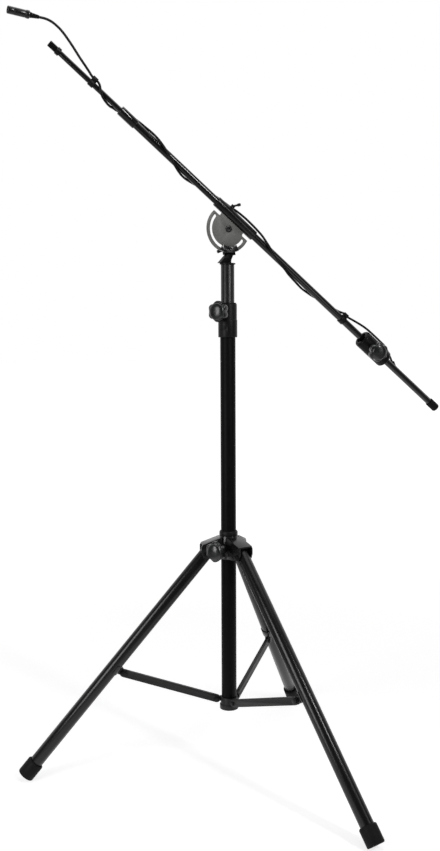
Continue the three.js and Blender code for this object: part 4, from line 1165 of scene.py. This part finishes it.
def tripod_sets() -> list[RefinedSet]:
    """The refined fittings of the three legs and braces.

    Returns:
        A set for each leg and brace.
    """
    return [fittings for side in LEG_SIDES for fittings in (
        RefinedSet(f"leg_{side}", {
            f"leg_tube_{side}": (Slot.TUBE, 0.0004), f"foot_cap_{side}": (Slot.RUBBER, 0.001),
            f"leg_bracket_{side}": (Slot.CASTING, 0.0005),
            f"brace_end_pin_{side}": (Slot.FASTENER, 0.0005)}),
        RefinedSet(f"brace_{side}", {f"brace_{side}": (Slot.TUBE, 0.0004)}))]


def stand_sets() -> list[RefinedSet]:
    """The refined fittings of the column, hub, mast, head, cradle and boom.

    Returns:
        A set for each body.
    """
    pins = {f"brace_pin_{side}": (Slot.FASTENER, 0.0005) for side in LEG_SIDES}
    leg_pins = {f"leg_pin_{side}": (Slot.FASTENER, 0.0005) for side in LEG_SIDES}
    return [
        RefinedSet("column", {
            "column_tube": (Slot.TUBE, 0.0004), "column_end_plug": (Slot.MOULDED, 0.0006),
            "bottom_collar": (Slot.CASTING, 0.0007), "clutch_housing": (Slot.MOULDED, 0.0008),
            "clutch_bush": (Slot.MOULDED, 0.0004), **pins}),
        RefinedSet("hub", {
            "hub_body": (Slot.CASTING, 0.001), "hub_bush": (Slot.MOULDED, 0.0006), **leg_pins}),
        RefinedSet("mast", {
            "mast_tube": (Slot.TUBE, 0.0004), "mast_cap": (Slot.MOULDED, 0.0005),
            "mast_guide_bush": (Slot.MOULDED, 0.0004)}),
        RefinedSet("head", {
            "swivel_neck": (Slot.CASTING, 0.0009), "pivot_bolt": (Slot.FASTENER, 0.0004),
            "pivot_nut": (Slot.FASTENER, 0.0005), "clamp_shoe": (Slot.CASTING, 0.0005)}),
        RefinedSet("tilt_handle", {"tilt_clamp_handle": (Slot.FASTENER, 0.0006)}),
        RefinedSet("pan_screw", {"pan_lock_screw": (Slot.FASTENER, 0.0005)}),
        RefinedSet("cradle", {
            "tilt_disc": (Slot.PLATE, 0.0006), "boom_sleeve": (Slot.TUBE, 0.0005),
            "sleeve_bush": (Slot.MOULDED, 0.0004)}),
        RefinedSet("sleeve_lever", {"sleeve_lock_lever": (Slot.FASTENER, 0.0006)}),
        RefinedSet("boom", {
            "boom_tube": (Slot.TUBE, 0.0004), "cable_clip_rear": (Slot.MOULDED, 0.0004),
            "cable_grommet": (Slot.RUBBER, 0.0004), "front_clutch_bush": (Slot.MOULDED, 0.0003)}),
        RefinedSet("front_clutch", {"front_clutch_collar": (Slot.MOULDED, 0.0006)}),
        RefinedSet("front_arm", {
            "front_tube": (Slot.TUBE, 0.0003), "cable_clip_front": (Slot.MOULDED, 0.0004)}),
        RefinedSet("counterweight", {"counterweight_body": (Slot.WEIGHT, 0.0012)}),
    ]


def main() -> None:
    """Builds the studio, the cable and every sub-assembly, in order."""
    logging.basicConfig(level=logging.INFO, format="%(name)s: %(message)s")
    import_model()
    StudioSet().build()
    for fittings in stand_sets() + tripod_sets():
        fittings.build()
    BoomTurnings().build()
    cable = CableRun()
    CableEnds().build(cable.route())
    cable.build()
    StarKnob().build()
    Bench.clear()


if __name__ == "__main__":
    main()
